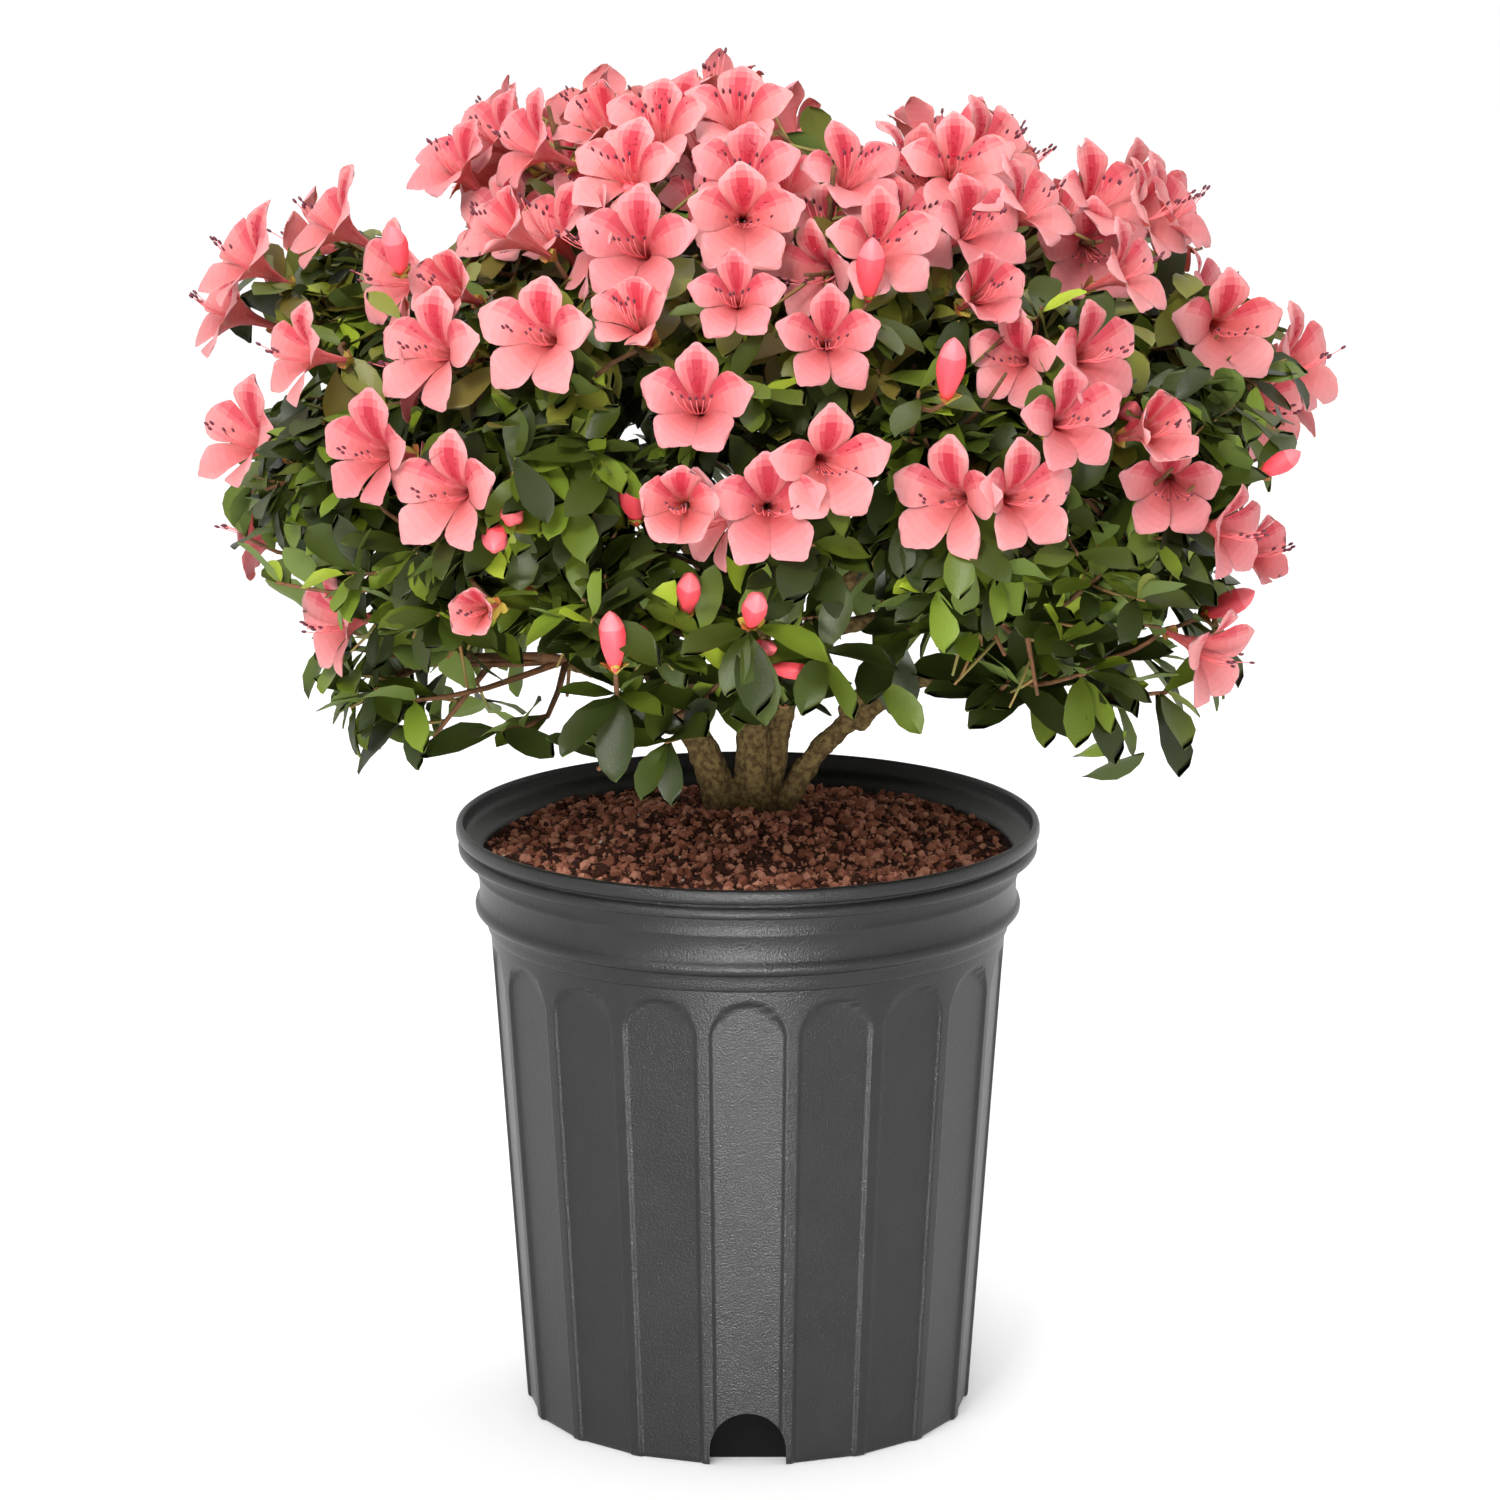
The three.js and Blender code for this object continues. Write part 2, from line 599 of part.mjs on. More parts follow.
// One mass: its stem, and each piece of the rule that stays in its own space, clear of other limbs.
function growMass(mass) {
  let made = limb(mass);
  const obstacles = taken.filter((other) => other.owner !== mass).map((other) => other.solid);
  const blades = [];

  const inside = (geometry) => {
    const at = geometry.attributes.position;
    const corner = vec(0, 0, 0);
    for (let k = 0; k < at.count; k++) {
      if (!inOwnSpace(corner.fromBufferAttribute(at, k), mass)) return false;
    }
    return true;
  };

  // Fuses on the first try that fits. Each piece has a seeded generator of its own.
  const grow = (place, isBlade, shy, propose) => {
    const random = seeded(mass.seed + place);
    for (let attempt = 0; attempt < TRIES; attempt++) {
      const { geometry, ...rest } = propose(random, attempt);
      if (!inside(geometry)) continue;
      const piece = solid(geometry);
      const avoid = shy ? [...obstacles, ...blades] : obstacles;
      if (!avoid.every((other) => piece.intersect(other).isEmpty())) continue;
      const joined = made.add(piece);
      if (shortestEdge(joined) < SHORTEST) continue;
      made = joined;
      if (isBlade) blades.push(piece);
      return rest;
    }
    return null;
  };

  const outward = mass.face.clone().sub(mass.end).normalize();
  const stem = new THREE.CatmullRomCurve3(mass.points);
  const lead = mass.face.distanceTo(mass.end) - TRUSS.room;
  for (let s = 0; s <= SHOOT.count; s++) {
    const base = 100 * s;
    const root = s
      ? stem.getPointAt(mix(SHOOT.from, 1, s / (SHOOT.count + 1)))
      : mass.end.clone().addScaledVector(outward, -3);
    const shoot = grow(base, false, s > 0, (random, attempt) => {
      const length = s ? mix(SHOOT.length[0], SHOOT.length[1], random()) - 4 * attempt : lead;
      const turn = mass.roll + (360 * s) / SHOOT.count + 60 * (random() - 0.5);
      const tilt = s ? mix(SHOOT.tilt[0], SHOOT.tilt[1], random()) : 6 * attempt;
      const way = tilted(outward, tilt, turn);
      const tip = root.clone().addScaledVector(way, length);
      return { geometry: twigGeometry(root, tip, SHOOT.radii), way, tip };
    });
    if (!shoot) continue;
    const { way, tip } = shoot;
    for (let k = 0; k < (s ? 0 : mass.truss); k++) {
      grow(base + 10 + k, true, true, (random, attempt) => {
        const size = mix(0.94, 1.04, random()) - 0.04 * attempt;
        const at = tip.clone().addScaledVector(way, -TRUSS.step * k);
        const turn = 60 + 120 * k + WHORL.wander * (2 * random() - 1);
        const along = tilted(way, k ? TRUSS.tilt + 2 * attempt : 8 + 4 * attempt, turn);
        return { geometry: flowerGeometry(at, along, Z, size) };
      });
    }
    for (let k = 0; k < WHORL.count; k++) {
      grow(base + 20 + k, true, true, (random) => {
        const at = tip.clone().addScaledVector(way, -(WHORL.back + WHORL.step * k));
        const lift = mix(WHORL.lift[0], WHORL.lift[1], random());
        const along = tilted(way, lift, 60 + 120 * k + WHORL.wander * (2 * random() - 1));
        return { geometry: leafGeometry(at, along, way, mix(0.85, 1.08, random())) };
      });
    }
  }
  const bodies = made.decompose();
  return bodies.reduce((best, body) => (body.volume() > best.volume() ? body : best));
}

// ---------------------------------------------------------------- assembly

const shrub = new THREE.Group();
shrub.name = "azalea_in_pot";

function place(name, made, finish) {
  const { color, roughness } = COLOURS[finish];
  const material = new THREE.MeshStandardMaterial({ color, roughness, metalness: 0 });
  const mesh = new THREE.Mesh(geometryOf(made), material);
  mesh.name = name;
  shrub.add(mesh);
}

place("pot", potSolid(), "pot");
place("soil", soilSolid().subtract(trunkSolid(CLEAR)), "soil");
place("trunk", trunkSolid(0), "bark");
for (const bough of boughs) place(bough.name, limb(bough), "bark");
for (const mass of masses) place(mass.name, growMass(mass), "foliage");

export default shrub;
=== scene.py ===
"""An azalea shrub in flower, in its black fluted nursery pot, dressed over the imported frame.

Sizes are in millimetres until a mesh is written, which is in metres. +Z is up and -Y is the front.
The limbs and the masses of foliage follow the same seeded rule as the solids that they stand for.
"""

import json
import logging
import math
from dataclasses import dataclass, field
from enum import IntEnum
from itertools import permutations
from typing import Callable, Sequence

import bpy
import numpy as np
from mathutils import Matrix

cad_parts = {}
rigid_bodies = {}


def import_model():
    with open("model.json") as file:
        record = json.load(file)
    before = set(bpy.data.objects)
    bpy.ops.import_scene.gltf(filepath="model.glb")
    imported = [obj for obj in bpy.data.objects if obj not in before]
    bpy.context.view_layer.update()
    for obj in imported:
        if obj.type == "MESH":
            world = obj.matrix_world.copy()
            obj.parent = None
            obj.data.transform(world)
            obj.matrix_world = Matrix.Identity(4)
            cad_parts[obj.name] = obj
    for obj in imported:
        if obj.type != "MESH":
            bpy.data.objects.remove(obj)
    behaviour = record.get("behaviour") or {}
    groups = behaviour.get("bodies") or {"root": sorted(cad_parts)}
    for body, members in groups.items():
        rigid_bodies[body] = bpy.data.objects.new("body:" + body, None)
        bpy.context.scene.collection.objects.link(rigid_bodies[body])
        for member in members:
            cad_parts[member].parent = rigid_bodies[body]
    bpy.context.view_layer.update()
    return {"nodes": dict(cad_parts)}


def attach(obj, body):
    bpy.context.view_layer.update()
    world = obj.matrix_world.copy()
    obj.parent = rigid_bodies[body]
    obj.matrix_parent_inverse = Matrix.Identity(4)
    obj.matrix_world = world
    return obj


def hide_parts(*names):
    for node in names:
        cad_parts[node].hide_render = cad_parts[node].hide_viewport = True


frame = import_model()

log = logging.getLogger("azalea")

Array = np.ndarray
Colour = tuple[int, int, int]

MM = 0.001
UP, FORTH = np.array([0.0, 0.0, 1.0]), np.array([0.0, 1.0, 0.0])
CLEAR = 0.3  # the gap that neighbouring solids keep
SOIL_TOP, SOIL_EDGE = 283.0, 267.0
DRAIN_ANGLES = (0, 120, 240)
EYE, PITCH = (1.0, -3357.3, 1115.7), 13.456  # where the camera stands, and how far it looks down
GOLDEN_ANGLE = 137.508
EVEN_STEPS = (0.754878, 0.56984)  # multiples of these, less their whole part, fill a square evenly
FACE_DEPTH, FACE_RADIUS = 36, 24  # a flower's face beyond its root, and out to its rim


# ---------------------------------------------------------------- numbers and directions


class Draws:
    """Even random numbers from a whole-number seed, the same numbers as the solids' rule draws."""

    MASK = 0xFFFFFFFF
    STEP = 0x6D2B79F5

    def __init__(self, seed: int) -> None:
        """Starts the row of numbers from a whole number."""
        self.state = seed & self.MASK

    def next(self) -> float:
        """Returns the next number, from 0 up to but not including 1."""
        self.state = (self.state + self.STEP) & self.MASK
        t = ((self.state ^ (self.state >> 15)) * (1 | self.state)) & self.MASK
        t = ((t + (((t ^ (t >> 7)) * (61 | t)) & self.MASK)) & self.MASK) ^ t
        return ((t ^ (t >> 14)) & self.MASK) / (self.MASK + 1)

    def between(self, low: float, high: float) -> float:
        """Returns the next number, spread from low to high."""
        share = self.next()
        return (1 - share) * low + share * high


def unit(vectors: Array) -> Array:
    """Returns the vectors at length one, along the last axis."""
    return vectors / np.maximum(np.linalg.norm(vectors, axis=-1, keepdims=True), 1e-9)


def heading(azimuth: float, elevation: float) -> Array:
    """Returns the unit vector at a compass angle, 0 to the front and 90 to the right, and a rise."""
    a, e = math.radians(azimuth), math.radians(elevation)
    return np.array([math.sin(a) * math.cos(e), -math.cos(a) * math.cos(e), math.sin(e)])


def sides_of(direction: Array) -> tuple[Array, Array]:
    """Returns two unit vectors square to a direction: a level one, and one as upright as it can be."""
    level = np.cross(UP, direction)
    level = np.array([1.0, 0.0, 0.0]) if np.linalg.norm(level) < 1e-3 else unit(level)
    return level, unit(np.cross(direction, level))


def tilted(direction: Array, tilt: float, turn: float) -> Array:
    """Tilts a direction away from its own line.

    Args:
        direction: The unit vector to start from.
        tilt: The angle from it, in degrees.
        turn: The side that it tilts to, in degrees about its line.

    Returns:
        direction cos(tilt) + side sin(tilt), where side = level cos(turn) + upright sin(turn).
    """
    level, upright = sides_of(direction)
    side = level * math.cos(math.radians(turn)) + upright * math.sin(math.radians(turn))
    return direction * math.cos(math.radians(tilt)) + side * math.sin(math.radians(tilt))


def strayed(direction: Array, draws: Draws, most: float) -> Array:
    """Returns a direction tilted by up to a number of degrees to any side."""
    return tilted(direction, draws.between(0, most), draws.between(0, 360))


def even_place(k: int) -> tuple[float, float]:
    """Returns the k-th of a row of evenly spread places: a share of a height, and a compass angle."""
    return (k * EVEN_STEPS[0]) % 1, 360 * ((k * EVEN_STEPS[1]) % 1) - 180


def each(items: Sequence[object], name: str) -> Array:
    """Returns one field of every item, as an array."""
    return np.array([getattr(item, name) for item in items])


def nearest_gap(places: Array, place: Array) -> float:
    """Returns how near the nearest of some places is to a place."""
    return float(np.linalg.norm(places - place, axis=-1).min())


def read_mesh(items: object, name: str, width: int = 3) -> Array:
    """Returns a value of every vertex or face of a mesh, one row for each."""
    flat = np.empty(width * len(items), np.float32)
    items.foreach_get(name, flat)
    return flat.reshape(-1, width).astype(float)


def axes_at(along: Array, facing: Array) -> Array:
    """Returns the rows x, y and z of frames with y along a direction and z as near to facing as can be."""
    y = unit(along)
    x = unit(np.cross(y, facing))
    return np.stack([x, y, np.cross(x, y)], axis=-2)


def smooth_step(value: Array, low: float, high: float) -> Array:
    """Returns 3 t^2 - 2 t^3, where t runs from 0 at low to 1 at high and stays level beyond them."""
    t = np.clip((value - low) / (high - low), 0.0, 1.0)
    return t * t * (3 - 2 * t)


class Lattice:
    """Smooth noise on a plane or in space: random heights on a lattice, eased between its points."""

    def __init__(self, seed: int, size: int = 64) -> None:
        """Deals the heights of the lattice points, from -1 to 1, from a seed."""
        self.size = size
        self.heights = np.random.default_rng(seed).uniform(-1, 1, (size, size, size))

    def at(self, points: Array, cell: float) -> Array:
        """Reads the noise.

        Args:
            points: Places, as an array whose last axis has two or three coordinates.
            cell: The spacing of the lattice, in the same unit.

        Returns:
            The mean of the eight heights round each place, each weighted by 3 t^2 - 2 t^3 of how near it is.
        """
        if points.shape[-1] == 2:
            points = np.concatenate([points, np.zeros_like(points[..., :1])], axis=-1)
        scaled = points / cell
        low = np.floor(scaled).astype(int)
        t = scaled - low
        t = t * t * (3 - 2 * t)
        total = np.zeros(points.shape[:-1])
        for corner in np.ndindex(2, 2, 2):
            weight = np.prod([t[..., k] if c else 1 - t[..., k] for k, c in enumerate(corner)], axis=0)
            i, j, k = ((low[..., n] + corner[n]) % self.size for n in range(3))
            total += weight * self.heights[i, j, k]
        return total


class SmoothCurve:
    """A centripetal Catmull-Rom curve through a few points, read by its length."""

    def __init__(self, points: Sequence[Array], divisions: int = 200) -> None:
        """Measures the curve through some points, with a number of chords."""
        inner = np.asarray(points, float)
        first, last = 2 * inner[0] - inner[1], 2 * inner[-1] - inner[-2]
        self.points = np.vstack([first, inner, last])
        self.spans = len(inner) - 1
        self.shares = np.linspace(0, 1, divisions + 1)
        steps = np.linalg.norm(np.diff(self.read(self.shares), axis=0), axis=1)
        self.lengths = np.concatenate([[0.0], np.cumsum(steps)])

    def read(self, shares: Array) -> Array:
        """Returns the points at shares of the curve's parameter: Hermite spans with centripetal slopes."""
        place = shares * self.spans
        span = np.minimum(place.astype(int), self.spans - 1)
        w = (place - span)[:, None]
        p0, p1, p2, p3 = (self.points[span + k] for k in range(4))
        d0, d1, d2 = (
            np.sqrt(np.linalg.norm(b - a, axis=1))[:, None] for a, b in ((p0, p1), (p1, p2), (p2, p3))
        )
        slope1 = d1 * ((p1 - p0) / d0 - (p2 - p0) / (d0 + d1) + (p2 - p1) / d1)
        slope2 = d1 * ((p2 - p1) / d1 - (p3 - p1) / (d1 + d2) + (p3 - p2) / d2)
        square = -3 * p1 + 3 * p2 - 2 * slope1 - slope2
        cube = 2 * p1 - 2 * p2 + slope1 + slope2
        return p1 + w * (slope1 + w * (square + w * cube))

    def at(self, shares: Array | float) -> Array:
        """Returns the points at shares of the curve's length."""
        wanted = np.atleast_1d(np.asarray(shares, float)) * self.lengths[-1]
        found = self.read(np.interp(wanted, self.lengths, self.shares))
        return found if np.ndim(shares) else found[0]


def bowed_path(start: Array, bow: Array, end: Array) -> Array:
    """Returns five points of a smooth path whose middle is pushed aside by a bow."""
    return SmoothCurve([start, (start + end) / 2 + bow, end], 24).at(np.linspace(0, 1, 5))


# ---------------------------------------------------------------- limbs


@dataclass
class Limb:
    """A tapering limb that grows from its parent's tip."""

    name: str
    end: Array
    radii: tuple[float, float]  # at its root and at its end
    bow: float = 0.0  # how far it leans the way its parent leans, as a share of its span
    points: Array = field(default_factory=lambda: np.zeros((0, 3)))  # what it runs through, once laid
    lean: Array = field(default_factory=lambda: UP.copy())  # the way it points at its end
    parent: "Limb | None" = None

    def lay(self, start: Array, lean: Array) -> None:
        """Lays the limb from its start to its end, bowed the way that its parent leans."""
        span = float(np.linalg.norm(self.end - start))
        middle = (start + self.end) / 2 + lean * self.bow * span
        self.points = np.array([start, start + lean * 0.1 * span, middle, self.end])
        self.lean = unit(self.end - middle)


@dataclass
class ForkRule:
    """How limbs are shared out among the tips that they grow from."""

    limit: int = 4  # the most limbs that fork from one tip
    rolls: int = 8  # how many turns of a fork are tried

    def starts(self, tip: Array, lean: Array, ends: list[Array], radius: float) -> list[Array]:
        """Finds where the limbs of one fork start: evenly round it, each on the side that it leaves by.

        Args:
            tip: The tip that they fork from.
            lean: The way it points.
            ends: Where the limbs end.
            radius: The radius at their roots.

        Returns:
            One start for each end. Of all turns and orders, the one whose sides point best at the ends.
        """
        level, upright = sides_of(lean)
        count = len(ends)
        spread = (radius + 2 * CLEAR) / math.sin(math.pi / count) if count > 1 else 0.0
        best_score, best = -math.inf, []
        for roll in range(self.rolls):
            turns = [2 * math.pi * (k + roll / self.rolls) / count for k in range(count)]
            sides = [level * math.cos(turn) + upright * math.sin(turn) for turn in turns]
            for order in permutations(range(count)):
                score = sum(float((end - tip) @ sides[k]) for end, k in zip(ends, order))
                if score > best_score:
                    best_score, best = score, [sides[k] for k in order]
        return [tip + lean * (CLEAR + 0.05) + side * spread for side in best]

    def attach(self, children: Sequence[Limb], parents: Sequence[Limb]) -> None:
        """Grows each child from the nearest parent tip that isn't full, the closest pairs first."""
        pairs = [(float(np.linalg.norm(p.end - c.end)), c, p) for c in children for p in parents]
        for _, child, parent in sorted(pairs, key=lambda pair: pair[0]):
            if child.parent is None and sum(c.parent is parent for c in children) < self.limit:
                child.parent = parent
        for parent in parents:
            own = [child for child in children if child.parent is parent]
            if own:
                starts = self.starts(parent.end, parent.lean, [c.end for c in own], own[0].radii[0])
                for child, start in zip(own, starts):
                    child.lay(start, parent.lean)


@dataclass
class Skeleton:
    """The stems that rise from the soil and the boughs that fork from them."""

    foot: tuple[float, float, float] = (0.0, 15.0, 280.0)
    stems: tuple = (  # the foot and the fork of each, about the common foot, and its radii
        ((-9, 0), (-32, -6, 50), (6.4, 4.8)),
        ((3, 0), (2, 0, 72), (8.2, 6.0)),
        ((9, 3), (22, 10, 72), (5.6, 4.4)),
        ((12, -3), (50, -8, 48), (5.4, 4.4)),
    )
    rings: tuple = (  # the name, height, reach and compass angles of each ring of boughs
        ("low", 362, 98, (-68, -14, 62, 128, -128)),
        ("high", 440, 98, (-84, -30, 34, 98, 172)),
        ("top", 500, 56, (-95, -18, 62, 155)),
    )
    axis: tuple[float, float] = (8.0, 5.0)  # the level place of the crown's centre line
    bough_radii: tuple[float, float] = (4.0, 3.5)
    bough_bow: float = 0.1

    def grow(self, rule: ForkRule) -> tuple[list[Limb], list[Limb]]:
        """Lays the stems, then the boughs that fork from them by a rule, and returns both."""
        foot = np.array(self.foot)
        stems = []
        for base, fork, radii in self.stems:
            start = foot + np.array([*base, 0.0])
            tip = foot + np.array(fork, float)
            middle = (start + tip) / 2
            middle[2] += 0.06 * np.linalg.norm(tip - start)
            stem = Limb("trunk", tip, radii, points=np.array([start - 4 * UP, middle, tip]))
            stem.lean = unit(tip - middle)
            stems.append(stem)
        boughs = []
        for name, height, reach, azimuths in self.rings:
            for k, azimuth in enumerate(azimuths):
                end = heading(azimuth, 0) * reach + np.array([*self.axis, height])
                boughs.append(Limb(f"bough_{name}_{k + 1}", end, self.bough_radii, self.bough_bow))
        rule.attach(boughs, stems)
        return stems, boughs


# ---------------------------------------------------------------- what grows in the crown


@dataclass
class Twig:
    """A thin branch: the points that it runs through and its radii at its root and tip."""

    points: Array
    radii: tuple[float, float]

    @property
    def tip(self) -> Array:
        """Returns where it ends."""
        return self.points[-1]

    @property
    def joints(self) -> Array:
        """Returns its root and its middle."""
        return self.points[[0, len(self.points) // 2]]

    @property
    def way(self) -> Array:
        """Returns the direction in which it ends."""
        return unit(self.points[-1] - self.points[-2])


@dataclass
class Leaf:
    """A leaf: its root, the way it grows, the way its upper side faces, its length and its tone."""

    root: Array
    along: Array
    facing: Array
    length: float
    tone: int
    seed: float

    @property
    def end(self) -> Array:
        """Returns where it ends."""
        return self.root + self.along * self.length


@dataclass
class Bloom:
    """An open flower: its root, its axis, where its top petal points, its size and how wide it is open."""

    root: Array
    along: Array
    facing: Array
    size: float
    open: float
    seed: float

    @property
    def mouth(self) -> Array:
        """Returns the middle of its face."""
        return self.root + self.along * FACE_DEPTH * self.size

    @property
    def rim(self) -> Array:
        """Returns eight places round the edge of its face."""
        level, upright = sides_of(self.along)
        turns = np.arange(8)[:, None] * np.pi / 4
        return self.mouth + FACE_RADIUS * self.size * (level * np.cos(turns) + upright * np.sin(turns))


@dataclass
class Bud:
    """A closed flower bud: its root, the way it points and its length."""

    root: Array
    along: Array
    length: float


@dataclass
class Growth:
    """Everything that the masses of foliage carry."""

    twigs: list[Twig] = field(default_factory=list)
    leaves: list[Leaf] = field(default_factory=list)
    blooms: list[Bloom] = field(default_factory=list)
    buds: list[Bud] = field(default_factory=list)
    scales: list[Leaf] = field(default_factory=list)


class Tone(IntEnum):
    """The tones of the leaves' upper sides."""

    DEEP = 0
    DARK = 1
    MIDDLE = 2
    FRESH = 3
    OLIVE = 4
    BRONZE = 5
    YOUNG = 6


@dataclass
class Mass(Limb):
    """A mass of foliage: its stem as a limb, and the part of the crown that it keeps to."""

    face: Array = field(default_factory=lambda: np.zeros(3))  # where it meets the crown's surface
    heart: Array = field(default_factory=lambda: np.zeros(3))  # the middle of its space
    seed: int = 0
    roll: float = 0.0  # the turn of its shoots about its axis
    truss: int = 0  # how many flowers its leading shoot carries

    @property
    def outward(self) -> Array:
        """Returns the way from its stem's end to the crown's surface."""
        return unit(self.face - self.end)

    @property
    def sparse(self) -> bool:
        """Tells whether it is one of the thin sprays under the crown."""
        return "skirt" in self.name


@dataclass
class Crown:
    """The crown: a dome with masses of foliage on it in tiers."""

    centre: tuple[float, float, float] = (8.0, 5.0, 455.0)
    halves: tuple[float, float, float] = (270.0, 240.0, 181.0)  # half its width, depth and height
    fringe: float = 20.0  # how far leaves may reach past it
    floor: float = 298.0  # the height that nothing hangs below
    heart_drop: float = 40.0  # how far under the centre the point lies that flowers face away from
    tiers: tuple = (  # name, height, flowers of each leading shoot, compass angles
        ("skirt", 346, 0, (-78, -14, 64, 132, -138)),
        ("low", 400, 1, (-51, -16, 40, 78, 146, -156, -104)),
        ("belt", 468, 2, (-68, -36, 0, 28, 57, 106, 154, -152, -110)),
        ("upper", 526, 2, (-92, -42, 40, 78, 132, -176, -130)),
        ("shoulder", 574, 2, (-66, -20, 17, 66, 112, 170, -126)),
        ("top", 606, 2, (-74, 50, 116, 178, -128)),
        ("apex", 625, 2, (-12, 140)),
    )
    stem_radii: tuple[float, float] = (2.5, 2.3)
    stem_bow: float = 0.06
    stem_share: float = 0.68

    @property
    def heart(self) -> Array:
        """Returns the point that flowers and sprays face away from."""
        return np.array([*self.centre[:2], self.centre[2] - self.heart_drop])

    def surface(self, azimuth: float, height: float) -> Array:
        """Returns the dome's point at a compass angle and a height: an ellipse cut at that height."""
        level = math.sqrt(max(1 - ((height - self.centre[2]) / self.halves[2]) ** 2, 0))
        way = heading(azimuth, 0)
        reach = level / math.hypot(way[0] / self.halves[0], way[1] / self.halves[1])
        return way * reach + np.array([self.centre[0], self.centre[1], height])

    def grow_masses(self, rule: ForkRule, boughs: list[Limb]) -> list[Mass]:
        """Sets each mass on the dome and grows its stem from a bough, shared out by a rule."""
        masses = []
        for name, height, truss, azimuths in self.tiers:
            for k, azimuth in enumerate(azimuths):
                face = self.surface(azimuth, height)
                inner = self.centre[2] * 0.45 + height * 0.55
                axis = np.array([self.centre[0], self.centre[1], inner])
                end = axis + (face - axis) * self.stem_share
                mass = Mass(f"mass_{name}_{k + 1}", end, self.stem_radii, self.stem_bow)
                mass.face, mass.heart, mass.truss = face, (end + face) / 2, truss
                masses.append(mass)
        for k, mass in enumerate(masses):
            mass.seed = 10000 * (k + 1)
            mass.roll = 360 * Draws(mass.seed - 1).next()
        rule.attach(masses, boughs)
        return masses

    def holds(self, points: Array, margin: float = 0.0) -> Array:
        """Tells which points lie in the dome with its fringe less a margin, and above its floor."""
        halves = np.array(self.halves) + self.fringe - margin
        inside = np.linalg.norm((points - np.array(self.centre)) / halves, axis=-1) <= 1
        return inside & (points[..., 2] >= self.floor)


@dataclass
class Sight:
    """The crown's outline as it is seen from the front, with the bays where the sky shows."""

    plane: float = 3447.0  # how far off the plane lies on which the outline is drawn
    outline: tuple = (  # its points, across and up from the middle of the look
        (-242, 88), (-251, 115), (-252, 143), (-235, 163), (-188, 172), (-206, 190), (-257, 196),
        (-253, 230), (-237, 247), (-194, 259), (-163, 242), (-159, 222), (-144, 225), (-134, 247),
        (-139, 262), (-152, 288), (-131, 309), (-97, 315), (-67, 315), (-48, 306), (-28, 318),
        (2, 324), (27, 304), (29, 277), (44, 288), (60, 284), (71, 301), (104, 302), (129, 286),
        (134, 265), (166, 282), (194, 278), (218, 258), (215, 229), (204, 220), (228, 219), (249, 206),
        (273, 191), (272, 156), (253, 142), (230, 122), (230, 97), (225, 72), (235, 23), (228, -4),
        (171, -14), (143, 2), (101, 2), (60, 14), (5, 12), (-41, -29), (-97, -9), (-129, -2),
        (-187, -13), (-214, 7), (-203, 51),
    )

    def inside(self, points: Array) -> Array:
        """Returns how far points lie inside the outline, less than 0 outside it."""
        ahead = heading(180, -PITCH)
        above = heading(180, 90 - PITCH)
        away = np.atleast_2d(points) - np.array(EYE)
        scale = self.plane / (away @ ahead)
        place = np.stack([away[:, 0] * scale, (away @ above) * scale], -1)[:, None]
        start = np.array(self.outline, float)[None]
        edge = np.roll(start, -1, axis=1) - start
        along = np.clip(((place - start) * edge).sum(-1) / (edge**2).sum(-1), 0, 1)
        apart = np.linalg.norm(place - start - along[..., None] * edge, axis=-1).min(axis=1)
        rise = place[..., 1] - start[..., 1]
        crosses = (rise < 0) != (rise < edge[..., 1])
        level = start[..., 0] + edge[..., 0] * rise / np.where(edge[..., 1] == 0, 1, edge[..., 1])
        within = (crosses & (place[..., 0] < level)).sum(axis=1) % 2 == 1
        return np.where(within, apart, -apart)


class Solid:
    """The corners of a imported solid, to tell which of the rule's pieces it has."""

    def __init__(self, node: str) -> None:
        """Reads the corners of a node of the frame."""
        self.corners = read_mesh(frame["nodes"][node].data.vertices, "co") / MM

    def has(self, points: Array, share: float = 0.6, within: float = 0.05) -> bool:
        """Tells whether a share of the points are corners of the solid, or lie within a distance of one."""
        apart = np.linalg.norm(self.corners[None, :, :] - points[:, None, :], axis=-1).min(axis=1)
        return float((apart < within).mean()) >= share


